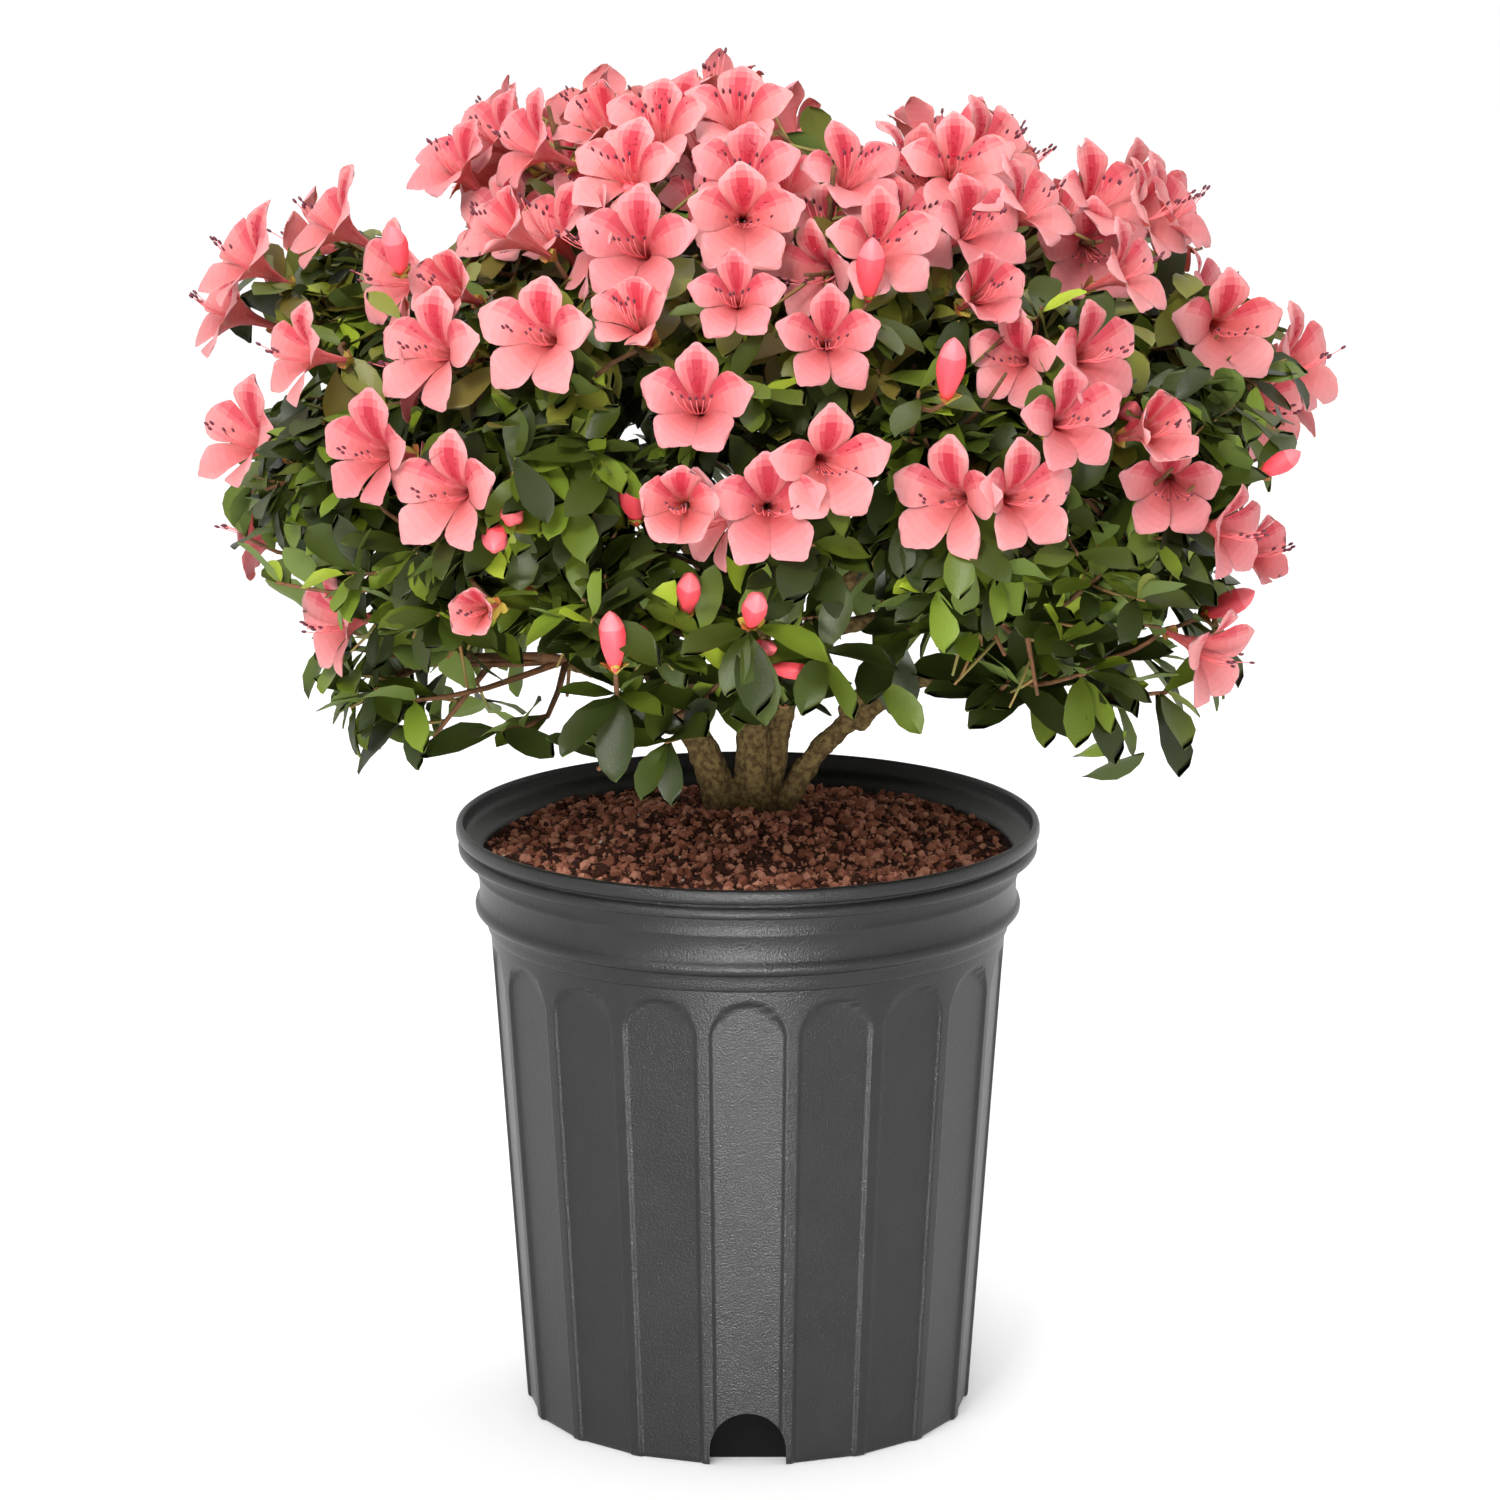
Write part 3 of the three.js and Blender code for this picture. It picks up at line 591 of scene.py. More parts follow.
@dataclass
class SourceRule:
    """The shoots, flowers and leaves that the solids have, with the sizes of their rule."""

    tries: int = 8  # how many tries a piece gets
    shoot_count: int = 2  # the side shoots of a mass
    shoot_length: tuple[float, float] = (44.0, 64.0)
    shoot_tip: float = 1.7  # a shoot's radius at its tip
    shoot_from: float = 0.45  # the share of the stem at which side shoots start
    shoot_tilt: tuple[float, float] = (38.0, 58.0)
    whorl_count: int = 4  # the leaves at a shoot's tip
    whorl_lift: tuple[float, float] = (56.0, 80.0)
    wander: float = 16.0  # how far leaves and flowers stray round their shoot, in degrees
    leaf: tuple[float, float, float, float] = (42.0, 17.5, 0.56, 3.0)  # length, width, widest at, droop
    truss_tilt: float = 58.0  # how far the flowers lean away from the first
    truss_step: float = 6.0  # how far apart they leave the shoot
    room: float = 38.0  # how far under the dome's surface the leading shoot ends

    def kept(self, solid: Solid, seed: int, propose: Callable[[Draws, int], tuple]) -> tuple | None:
        """Finds which try of a piece the solid has.

        Args:
            solid: The solid.
            seed: The seed of the piece's draws.
            propose: Makes the corners of a try and whatever describes it.

        Returns:
            What describes that try, or None.
        """
        draws = Draws(seed)
        for attempt in range(self.tries):
            corners, *facts = propose(draws, attempt)
            if solid.has(corners):
                return tuple(facts)
        return None

    def shoots(self, mass: Mass, solid: Solid) -> list[tuple[int, Array, Array, Array]]:
        """Finds the shoots of a mass: each one's number, root, way and tip."""
        outward, stem = mass.outward, SmoothCurve(mass.points)
        lead = float(np.linalg.norm(mass.face - mass.end)) - self.room
        found = []
        for s in range(self.shoot_count + 1):
            share = s / (self.shoot_count + 1)
            side_root = stem.at(self.shoot_from * (1 - share) + share)
            root = side_root if s else mass.end - 3 * outward

            def propose(draws: Draws, attempt: int) -> tuple:
                """Draws one try of a shoot."""
                length = draws.between(*self.shoot_length) - 4 * attempt if s else lead
                turn = mass.roll + 360 * s / self.shoot_count + 60 * (draws.next() - 0.5)
                tilt = draws.between(*self.shoot_tilt) if s else 6 * attempt
                way = tilted(outward, tilt, turn)
                tip = root + way * length
                ring = [tip + tilted(way, 90, side) * self.shoot_tip for side in (0, 120, 240)]
                return np.array(ring), way, tip

            shoot = self.kept(solid, mass.seed + 100 * s, propose)
            if not shoot and s == 0:
                shoot = propose(Draws(mass.seed), 0)[1:]  # its tip is sunk in the stem's own end
            if shoot:
                found.append((s, root, *shoot))
        return found

    def blooms(self, mass: Mass, solid: Solid, way: Array, tip: Array) -> list[Bloom]:
        """Finds the flowers of a mass's leading shoot."""
        found = []
        for k in range(mass.truss):

            def propose(draws: Draws, attempt: int) -> tuple:
                """Draws one try of a flower, smaller and more askew with every try."""
                size = draws.between(0.94, 1.04) - 0.04 * attempt
                root = tip - way * self.truss_step * k
                turn = 60 + 120 * k + self.wander * (2 * draws.next() - 1)
                lean = self.truss_tilt + 2 * attempt if k else 8 + 4 * attempt
                along = tilted(way, lean, turn)
                x, y, z = axes_at(along, UP)
                turns = [2 * math.pi * (p + 0.5 + share) / 5 for p in range(5) for share in (0.36, 0.64)]
                rim = [root + size * (25 * math.sin(t) * x + 40 * y + 25 * math.cos(t) * z) for t in turns]
                return np.array(rim), Bloom(root, along, z, size, 1.0, mass.seed + k)

            bloom = self.kept(solid, mass.seed + 10 + k, propose)
            if bloom:
                found.append(bloom[0])
        return found

    def leaves(self, mass: Mass, solid: Solid, s: int, way: Array, tip: Array) -> list[Leaf]:
        """Finds the leaves of one shoot."""
        long, wide, widest, droop = self.leaf
        found = []
        for k in range(self.whorl_count):

            def propose(draws: Draws, _: int) -> tuple:
                """Draws one try of a leaf."""
                root = tip - way * (3 + 3.5 * k)
                lift = draws.between(*self.whorl_lift)
                along = tilted(way, lift, 60 + 120 * k + self.wander * (2 * draws.next() - 1))
                size = draws.between(0.85, 1.08)
                x, y, z = axes_at(along, way)
                side = x * wide * size / 2
                belly = root + y * widest * long * size
                end = root + y * long * size - z * droop * size
                corners = np.array([belly - side, belly + side, end])
                return corners, Leaf(root, along, z, size, 0, mass.seed + 100 * s + k)

            leaf = self.kept(solid, mass.seed + 100 * s + 20 + k, propose)
            if leaf:
                found.append(leaf[0])
        return found


class Seed(IntEnum):
    """Where the rows of random numbers of the finer growth start."""

    TRAILS = 560000
    SPRAYS = 640000
    SPRAY_LEAVES = 650000
    FLOWERS = 770000
    FLOWER_LEAVES = 780000
    BUDS = 910000
    FRONT_BUDS = 930000


class Masses:
    """The masses of foliage together: what lies in whose space."""

    def __init__(self, crown: Crown, masses: list[Mass]) -> None:
        """Keeps the crown, its masses and its outline from the front."""
        self.crown, self.masses, self.sight = crown, masses, Sight()
        self.hearts = each(masses, "heart")

    def own(self, points: Array, mass: Mass, lead: float) -> Array:
        """Tells which points lie in the crown, in its outline and in a mass's own space.

        Args:
            points: The points.
            mass: The mass.
            lead: How far inside the planes half way to the other hearts they have to lie.
        """
        points = np.atleast_2d(points)
        high = smooth_step(points[:, 2], 520, 600)
        inside = self.crown.holds(points, (6 + 20 * high)[:, None])
        inside &= self.sight.inside(points) > 2 + 8 * high
        to_own = ((points - mass.heart) ** 2).sum(axis=-1)[:, None]
        to_others = ((points[:, None, :] - self.hearts[None]) ** 2).sum(axis=-1)
        between = np.linalg.norm(self.hearts - mass.heart, axis=1)
        ahead = (to_others - to_own) / (2 * np.maximum(between, 1e-6))
        return inside & ((ahead > lead) | (between < 1e-6)).all(axis=1)

    def nearest(self, point: Array) -> Mass:
        """Returns the mass whose heart is nearest to a point."""
        return self.masses[int(np.linalg.norm(self.hearts - point, axis=1).argmin())]


@dataclass
class FineRule:
    """The source's rule carried on to finer twigs, with leaves in whorls, flowers and buds on them."""

    masses: Masses
    growth: Growth = field(default_factory=Growth)
    side_shoots: tuple[int, int] = (7, 3)  # shoots that a mass gets beside its solid's, and a sparse one
    side_twigs: int = 3  # how many twigs each shoot gets
    spacing: float = 21.0  # how near two tips of shoots may come
    mingle: float = 9.0  # how far a leaf may reach into a neighbour's space
    whorl: tuple[int, int] = (6, 5)  # the leaves at a shoot's tip and at a twig's tip
    leaf_length: tuple[float, float] = (23.0, 38.0)
    source_leaf: float = 33.0  # the length of the solids' leaves here
    young: tuple[float, float] = (0.04, 0.72)  # the share of young leaves, and their size
    hem: tuple[float, float, float] = (354.0, 0.2, 320.0)  # middle, rise outwards, under thin sprays
    thin: tuple = ((0.66, 530, 600), (0.4, -410, -350))  # shares of leaves left out, high up and low down
    front: tuple = (  # compass angle, height, size and depth in the dome of the flowers at the front
        (-82, 545, 1.0, -10), (-45, 486, 1.02, 0), (-28, 541, 1.0, 0), (-17, 552, 1.0, 0), (-8, 519, 1.0, 0),
        (-9, 474, 1.02, 0), (7, 490, 0.98, 0), (35, 505, 0.95, 0), (45, 497, 1.0, 0), (62, 378, 0.98, 6),
        (55, 444, 0.9, 0), (84, 503, 1.0, 8), (60, 588, 1.0, 0), (74, 577, 1.0, 1), (12, 588, 1.0, 0),
        (-52, 621, 1.0, 0), (-4, 560, 0.78, 0), (-32, 421, 0.7, 0), (-43, 556, 0.95, 0), (18, 607, 0.95, 0),
        (-2, 626, 1.02, 0), (-30, 620, 1.0, 0), (40, 612, 0.95, 0), (66, 534, 0.95, 14), (-60, 520, 0.9, 0),
        (30, 560, 0.95, 0), (-25, 588, 0.95, 0), (52, 560, 0.9, 0), (-66, 600, 0.95, 0), (-80, 570, 0.95, 6),
        (-66, 386, 0.95, 30), (74, 420, 0.95, 22), (-72, 478, 1.0, 12), (-90, 520, 0.98, 0),
        (8, 545, 0.9, 10),
    )
    trails: tuple = (  # the tips of the thin twigs under the crown, and the leaves on their way
        (-151, -70, 352, 5), (-178, -52, 372, 3), (-110, -96, 344, 4), (-57, -176, 380, 2),
        (-36, -150, 352, 2), (1, -212, 418, 2), (34, -190, 402, 3), (58, -150, 380, 4),
        (116, -110, 370, 4), (188, -88, 360, 7),
        (150, -120, 376, 4), (206, -40, 384, 5), (150, 120, 356, 5), (60, 190, 362, 5), (-60, 185, 356, 5),
        (-150, 110, 352, 5), (-196, 20, 368, 5), (205, 60, 372, 5),
    )
    trail_leaf: float = 1.28  # how much larger their leaves are
    flower_tries: int = 1600  # the places tried for flowers over the whole dome
    flower_heights: tuple[float, float, float] = (452, 182, 0.6)  # the lowest, the range and its power
    spread: tuple[float, float, float] = (25.0, 30.0, 64.0)  # flowers' spacing: at the front, high, low
    spread_heights: tuple[float, float] = (500, 595)
    past: float = 4.0  # how far a flower may reach past the outline
    bare: tuple[float, float] = (430, -60)  # the solids' flowers under and before these are left out
    # the place and the length of the buds that show at the front
    buds: tuple = ((85, -205, 515, 30), (-57, -212, 398, 28), (52, -168, 552, 30), (-150, -150, 560, 26))
    bud_share: float = 0.03  # the share of tips that end in a bud
    sprays: int = 380  # the places tried for leafy shoots that fill thin places
    spray_heights: tuple[float, float] = (392, 232)  # the lowest, and the range
    edge: tuple[float, float, float] = (-2, 12, 6)  # how deep in the outline loose leaves, others, twigs end

    def place_leaf(self, mass: Mass, leaf: Leaf) -> None:
        """Keeps a leaf if it lies in the crown, over its hem and near its mass's space, and isn't thinned."""
        belly = leaf.root + leaf.along * leaf.length * 0.55
        x, y, z = leaf.end
        hem = self.hem[2] if mass.sparse else self.hem[0] + self.hem[1] * math.hypot(x, y)
        thinned = sum(share * smooth_step(way * z, *ends) for (share, *ends), way in zip(self.thin, (1, -1)))
        if z > hem and leaf.seed > thinned:
            if self.masses.own(np.array([belly, leaf.end]), mass, -self.mingle).all():
                self.growth.leaves.append(leaf)

    def tone(self, draws: Draws, height: float) -> Tone:
        """Deals a leaf's tone: olive and bronze near the flowers at the top, deep greens below."""
        share = draws.next()
        high = height > 505 + 40 * (draws.next() - 0.5)
        if share < self.young[0]:
            return Tone.YOUNG
        if high:
            steps = ((0.4, Tone.OLIVE), (0.58, Tone.BRONZE), (0.8, Tone.MIDDLE), (1.1, Tone.DARK))
        else:
            steps = ((0.3, Tone.DEEP), (0.58, Tone.DARK), (0.84, Tone.MIDDLE), (1.1, Tone.FRESH))
        return next(tone for limit, tone in steps if share < limit)

    def leaf_at(self, draws: Draws, root: Array, way: Array, lift: float, turn: float) -> Leaf:
        """Makes a leaf that leaves a twig at an angle, its face turned part way up to the light.

        Args:
            draws: The random numbers.
            root: Where it leaves the twig.
            way: The twig's direction.
            lift: Its angle from the twig, in degrees.
            turn: The side of the twig that it leaves by, in degrees.
        """
        along = unit(tilted(way, lift, turn) + np.array([0, 0, -0.12 - 0.2 * draws.next()]))
        facing = way * 0.55 + UP * 0.75 + along * 0.05
        length = draws.between(*self.leaf_length)
        tone = self.tone(draws, root[2])
        if tone == Tone.YOUNG:
            length *= self.young[1]
        return Leaf(root, along, facing, length, tone, draws.next())

    def dress_twig(self, mass: Mass, twig: Twig, count: int, along: int, seed: int) -> None:
        """Sets a whorl of leaves at a twig's tip and others in a spiral down its outer part.

        Args:
            mass: The mass that the twig belongs to.
            twig: The twig.
            count: The leaves of the whorl.
            along: The leaves below it.
            seed: The seed of its random numbers.
        """
        draws = Draws(seed)
        curve = SmoothCurve(twig.points, 24)
        first = draws.between(0, 360)
        for k in range(count):
            root = curve.at(1 - min(1.4 * k / curve.lengths[-1], 0.5))
            lift = draws.between(42, 74) + 3 * k
            turn = first + 360 * k / count + draws.between(-16, 16)
            self.place_leaf(mass, self.leaf_at(draws, root, twig.way, lift, turn))
        for k in range(along):
            share = 0.86 - 0.62 * k / along
            root, ahead = curve.at(np.array([share, min(share + 0.05, 1)]))
            turn = first + GOLDEN_ANGLE * (k + 1) + draws.between(-20, 20)
            leaf = self.leaf_at(draws, root, unit(ahead - root), draws.between(48, 72), turn)
            self.place_leaf(mass, leaf)

    def bent(self, root: Array, way: Array, length: float, lift: float) -> Array:
        """Returns five points of a twig that sets off one way and bends a little up."""
        shares = np.linspace(0, 1, 5)[:, None]
        return root + way * length * shares + UP * lift * length * shares**2

    def grow_mass(self, mass: Mass, source: SourceRule) -> None:
        """Grows one mass: its solid's stem, shoots, leaves and flowers, then the finer ones."""
        growth, solid, stem = self.growth, Solid(mass.name), SmoothCurve(mass.points)
        growth.twigs.append(Twig(stem.at(np.linspace(0, 1, 5)), mass.radii))
        shoots: list[Twig] = []
        for s, root, way, tip in source.shoots(mass, solid):
            if np.linalg.norm(tip - root) > 8:
                shoots.append(Twig(np.linspace(root, tip, 5), (mass.radii[1] * 0.8, 1.1)))
            for leaf in source.leaves(mass, solid, s, way, tip):
                draws = Draws(int(leaf.seed) + 7)
                leaf.length *= self.source_leaf
                leaf.tone = self.tone(draws, leaf.root[2])
                leaf.facing = leaf.facing * 0.7 + UP * 0.3
                leaf.seed = draws.next()
                growth.leaves.append(leaf)
            if s == 0:
                growth.blooms += source.blooms(mass, solid, way, tip)
        spine = SmoothCurve([*stem.at(np.linspace(0.25, 1, 4)), *(shoot.tip for shoot in shoots[:1])], 40)
        count = self.side_shoots[mass.sparse]
        for j in range(count):
            draws = Draws(mass.seed + 3000 + 17 * j)
            root = spine.at(0.06 + 0.9 * (j + 0.5) / count)
            for attempt in range(7):
                tilt = draws.between(40, 92)
                turn = mass.roll + GOLDEN_ANGLE * j + draws.between(-40, 40)
                length = draws.between(32, 62) * (1 - 0.08 * attempt)
                way = tilted(mass.outward, tilt, turn)
                shoot = Twig(self.bent(root, way, length, draws.between(0.02, 0.2)), (1.6, 0.9))
                apart = min((np.linalg.norm(shoot.tip - other.tip) for other in shoots), default=99)
                if apart > self.spacing and self.masses.own(shoot.tip + shoot.way * 12, mass, -3).all():
                    shoots.append(shoot)
                    break
        for n, shoot in enumerate(shoots):
            growth.twigs.append(shoot)
            seed = mass.seed + 5000 + 60 * n
            self.dress_twig(mass, shoot, *((4, 1) if mass.sparse else (self.whorl[0], 4)), seed)
            if not mass.sparse or n % 2:
                self.grow_twigs(mass, shoot, seed + 1)

    def grow_twigs(self, mass: Mass, shoot: Twig, seed: int) -> None:
        """Grows the last twigs of a mass from a shoot, with their leaves, from a seed."""
        curve = SmoothCurve(shoot.points, 24)
        for k in range(self.side_twigs):
            draws = Draws(seed + 11 * k)
            share = 0.3 + 0.5 * k / max(self.side_twigs - 1, 1)
            root, ahead = curve.at(np.array([share, share + 0.05]))
            for _ in range(4):
                turn = GOLDEN_ANGLE * k + draws.between(0, 360)
                way = tilted(unit(ahead - root), draws.between(36, 66), turn)
                points = self.bent(root, way, draws.between(15, 30), draws.between(0, 0.2))
                if self.masses.own(points[-1] + way * 10, mass, -self.mingle / 2).all():
                    self.growth.twigs.append(Twig(points[::2], (1.0, 0.65)))
                    self.dress_twig(mass, self.growth.twigs[-1], self.whorl[1], 2, seed + 11 * k + 5)
                    break

    def flower_sites(self) -> list[tuple]:
        """Lists the flowers' compass angles, heights, sizes, insets and spacings, the front first."""
        low, span, power = self.flower_heights
        sites = [(*site, self.spread[0]) for site in self.front]
        for k in range(self.flower_tries):
            share, azimuth = even_place(k)
            height = low + span * share**power
            room = float(np.interp(height, self.spread_heights, self.spread[:0:-1]))
            sites.append((azimuth, height, 0.97, 0, room))
        return sites

    def flower_shoots(self) -> None:
        """Sets flowers on shoots of their own, each where the others leave it room."""
        growth, heart = self.growth, self.masses.crown.heart
        joints = np.vstack([[*twig.joints, twig.tip] for twig in growth.twigs])
        for n, (azimuth, height, size, inset, room) in enumerate(self.flower_sites()):
            draws = Draws(Seed.FLOWERS + n)
            auto = n >= len(self.front)
            mouth = self.masses.crown.surface(azimuth + (draws.between(-5, 5) if auto else 0), height)
            out = unit(mouth - heart)
            mouth = mouth - out * (draws.between(-6, 34) if auto else inset + draws.between(-4, 5))
            if nearest_gap(each(growth.blooms, "mouth"), mouth) < room:
                continue
            rise = math.degrees(math.asin(out[2]))
            along = unit(heading(azimuth * 0.86, rise * 0.55) + out * 0.35)
            along = strayed(along, draws, 24 if auto else 16)
            root = mouth - along * FACE_DEPTH * size
            opened = 1.0 if draws.next() > 0.12 else 0.62
            bloom = Bloom(root, along, UP, size * draws.between(0.94, 1.04), opened, Seed.FLOWERS + n)
            if auto and self.masses.sight.inside(bloom.rim).min() < -self.past:
                continue
            inward = np.linalg.norm(joints - heart, axis=1) < np.linalg.norm(root - heart) - 6
            apart = np.linalg.norm(joints - root, axis=1)
            near = joints[np.argmin(np.where(inward, apart, 1e9))]
            bow = out * 0.12 * float(np.linalg.norm(root - near))
            growth.twigs.append(Twig(bowed_path(near, bow, root), (1.3, 1.0)))
            growth.blooms.append(bloom)
            self.dress_twig(self.masses.nearest(root), growth.twigs[-1], 5, 1, Seed.FLOWER_LEAVES + n)

    def trailing(self) -> None:
        """Sets the long thin twigs that reach out from the boughs under the crown, with larger leaves."""
        limbs = np.vstack([mass.parent.points[2:] for mass in self.masses.masses])
        for k, (x, y, z, count) in enumerate(self.trails):
            draws = Draws(Seed.TRAILS + k)
            tip = np.array([x, y, z], float)
            inner = np.linalg.norm(limbs[:, :2], axis=1) < np.hypot(x, y) - 30
            near = limbs[np.argmin(np.linalg.norm(limbs - tip, axis=1) + 1e6 * ~inner)]
            bow = np.array([draws.between(-8, 8), 0, -draws.between(4, 10)])
            twig = Twig(bowed_path(near, bow, tip), (1.7, 1.0))
            self.growth.twigs.append(twig)
            curve = SmoothCurve(twig.points, 24)
            for j in range(5 + count):
                if j < 5:
                    share, turn = 1 - 0.015 * j, 72 * j + draws.between(-14, 14)
                else:
                    share, turn = 0.93 - 0.6 * (j - 5) / count, 90 + 180 * (j % 2) + draws.between(-25, 25)
                root, ahead = curve.at(np.array([share - 0.02, share]))
                leaf = self.leaf_at(draws, ahead, unit(ahead - root), draws.between(40, 72), turn)
                leaf.along = unit(leaf.along - UP * draws.between(0.1, 0.55))
                leaf.length *= self.trail_leaf
                leaf.seed = 0.45 + 0.55 * leaf.seed
                if leaf.end[2] > self.hem[2] - 6:
                    self.growth.leaves.append(leaf)

    def leaf_sprays(self) -> None:
        """Sets leafy shoots in the places that are still thin, below the dome's surface."""
        growth, crown = self.growth, self.masses.crown
        joints = np.vstack([twig.joints for twig in growth.twigs])
        for k in range(self.sprays):
            draws = Draws(Seed.SPRAYS + k)
            share, azimuth = even_place(k)
            face = crown.surface(azimuth, self.spray_heights[0] + self.spray_heights[1] * share)
            out = unit(face - crown.heart)
            tip = face - out * draws.between(14, 70)
            if nearest_gap(each(growth.twigs, "tip"), tip) >= self.spacing:
                near = joints[np.argmin(np.linalg.norm(joints - (tip - out * 26), axis=1))]
                growth.twigs.append(Twig(bowed_path(near, -3 * UP, tip), (1.2, 0.8)))
                self.dress_twig(self.masses.nearest(tip), growth.twigs[-1], 6, 4, Seed.SPRAY_LEAVES + k)

    def bud_tips(self) -> None:
        """Sets closed buds at some tips near the dome's surface, and those that show at the front."""
        growth = self.growth
        for n, twig in enumerate(growth.twigs):
            draws = Draws(Seed.BUDS + n)
            if draws.next() <= self.bud_share and twig.tip[2] >= 380:
                if nearest_gap(each(growth.blooms, "mouth"), twig.tip) >= 20:
                    way = strayed(unit(twig.way + 0.4 * UP), draws, 16)
                    growth.buds.append(Bud(twig.tip, way, draws.between(21, 28)))
        joints = np.vstack([twig.points for twig in growth.twigs])
        for k, (x, y, z, length) in enumerate(self.buds):
            foot = np.array([x, y, z], float)
            near = joints[np.argmin(np.linalg.norm(joints - foot - np.array([0, 16, -12]), axis=1))]
            growth.twigs.append(Twig(bowed_path(near, -3 * UP, foot), (1.3, 1.0)))
            way = unit(UP + heading(math.degrees(math.atan2(x, -y)), 0) * 0.25)
            growth.buds.append(Bud(foot, strayed(way, Draws(Seed.FRONT_BUDS + k), 14), length))

    def bud_scales(self) -> None:
        """Sets five scales at the foot of every flower and bud."""
        feet = [(bloom.root, bloom.along, bloom.seed) for bloom in self.growth.blooms]
        feet += [(bud.root, bud.along, 5000 + k) for k, bud in enumerate(self.growth.buds)]
        for root, along, seed in feet:
            draws = Draws(int(seed) + 31)
            for k in range(5):
                way = tilted(along, draws.between(22, 50), 72 * k + draws.between(-14, 14))
                leaf = Leaf(root - along * 1.5, way, along, draws.between(6, 9.5), k % 2, draws.next())
                self.growth.scales.append(leaf)

    def trim(self) -> None:
        """Drops leaves and twigs that show outside the outline, and darkens leaves deep in the crown by one
        tone as painted shade.
        """
        growth, crown, sight = self.growth, self.masses.crown, self.masses.sight
        loose, rest, wood = self.edge
        seen = sight.inside(each(growth.leaves, "end"))
        growth.leaves = [
            leaf for leaf, depth in zip(growth.leaves, seen) if depth > (loose if leaf.seed > 0.45 else rest)
        ]
        shade_depths = np.linalg.norm((each(growth.leaves, "root") - crown.centre) / crown.halves, axis=1)
        # painted shade: leaves well inside the crown take the next darker tone, for the shadow of the foliage
        # over them
        for leaf, share in zip(growth.leaves, shade_depths):
            if share < 0.55 + 0.35 * leaf.seed and leaf.tone < Tone.OLIVE:
                leaf.tone = max(leaf.tone - 1, 0)
        seen = sight.inside(each(growth.twigs, "tip"))
        growth.twigs = [twig for twig, depth in zip(growth.twigs, seen) if depth > wood]

    def clear_flowers(self) -> None:
        """Drops the leaves that would lie in a flower's funnel or just before its face."""
        leaves = self.growth.leaves
        spans = each(leaves, "along") * each(leaves, "length")[:, None]
        points = each(leaves, "root")[:, None] + spans[:, None] * np.array([0.3, 0.6, 0.98])[:, None]
        keep = np.ones(len(points), bool)
        for bloom in self.growth.blooms:
            local = points - bloom.root
            depth = local @ bloom.along
            off = np.linalg.norm(local - depth[..., None] * bloom.along, axis=-1)
            limit = np.interp(depth, (4, 12, 20, 32, 50, 66), (0, 4, 10, 27, 25, 0)) * bloom.size
            keep &= ~(off < limit).any(axis=1)
        self.growth.leaves = [leaf for leaf, kept in zip(leaves, keep) if kept]

    def grow(self, source: SourceRule) -> Growth:
        """Grows every mass by the solids' rule and the finer one, then flowers, sprays and buds."""
        for mass in self.masses.masses:
            self.grow_mass(mass, source)
        low, near = self.bare
        self.growth.blooms = [
            bloom
            for bloom in self.growth.blooms
            if self.masses.sight.inside(bloom.rim).min() > -self.past
            and (bloom.mouth[2] > low or bloom.mouth[1] > near)
        ]
        self.flower_shoots()
        self.leaf_sprays()
        self.trailing()
        self.bud_tips()
        self.bud_scales()
        self.trim()
        self.clear_flowers()
        return self.growth


# ---------------------------------------------------------------- meshes


@dataclass
class Shape:
    """A closed mesh as arrays: its points, its triangles and each triangle's place among the finishes."""

    points: Array
    faces: Array
    slots: Array

    @staticmethod
    def joined(shapes: Sequence["Shape"]) -> "Shape":
        """Joins shapes into one, in order."""
        starts = np.cumsum([0] + [len(shape.points) for shape in shapes[:-1]])
        return Shape(
            np.vstack([shape.points for shape in shapes]),
            np.vstack([shape.faces + start for shape, start in zip(shapes, starts)]),
            np.concatenate([shape.slots for shape in shapes]),
        )

    @staticmethod
    def repeated(points: Array, faces: Array, slots: Array | int = 0) -> "Shape":
        """Joins copies of one form.

        Args:
            points: The points of every copy, copies by points by three.
            faces: The triangles of one copy.
            slots: The finishes of one copy's triangles, or of every copy's, copies by triangles.
        """
        copies, count = points.shape[:2]
        spread = (faces[None] + (np.arange(copies) * count)[:, None, None]).reshape(-1, 3)
        dealt = np.broadcast_to(slots, (copies, len(faces))).reshape(-1)
        return Shape(points.reshape(-1, 3), spread, dealt)

    @staticmethod
    def turned(rings: Array, poles: Sequence) -> "Shape":
        """Closes rings of points, rings by sides by three, with a pole before the first and past the last."""
        points = np.vstack([rings.reshape(-1, 3), poles])
        return Shape.repeated(points[None], closed_faces(*rings.shape[:2]))


def grid_faces(rows: int, columns: int, wrapped: bool) -> Array:
    """Returns the triangles of a grid of points, row after row, closed round the columns if wrapped."""
    r, c = np.meshgrid(np.arange(rows - 1), np.arange(columns if wrapped else columns - 1), indexing="ij")
    a, b = (r * columns + c).ravel(), (r * columns + (c + 1) % columns).ravel()
    return np.concatenate([np.stack([a, b, b + columns], 1), np.stack([a, b + columns, a + columns], 1)])


def fan_faces(pole: int, first: int, count: int, flipped: bool) -> Array:
    """Returns the triangles from a pole to a ring of points."""
    a = first + np.arange(count)
    b = first + (np.arange(count) + 1) % count
    return np.stack([np.full(count, pole), b, a] if flipped else [np.full(count, pole), a, b], 1)


def closed_faces(rings: int, sides: int) -> Array:
    """Returns the triangles of rings of points that two more points close, one before and one past them."""
    n = rings * sides
    first, last = fan_faces(n, 0, sides, True), fan_faces(n + 1, n - sides, sides, False)
    return np.vstack([grid_faces(rings, sides, True), first, last])


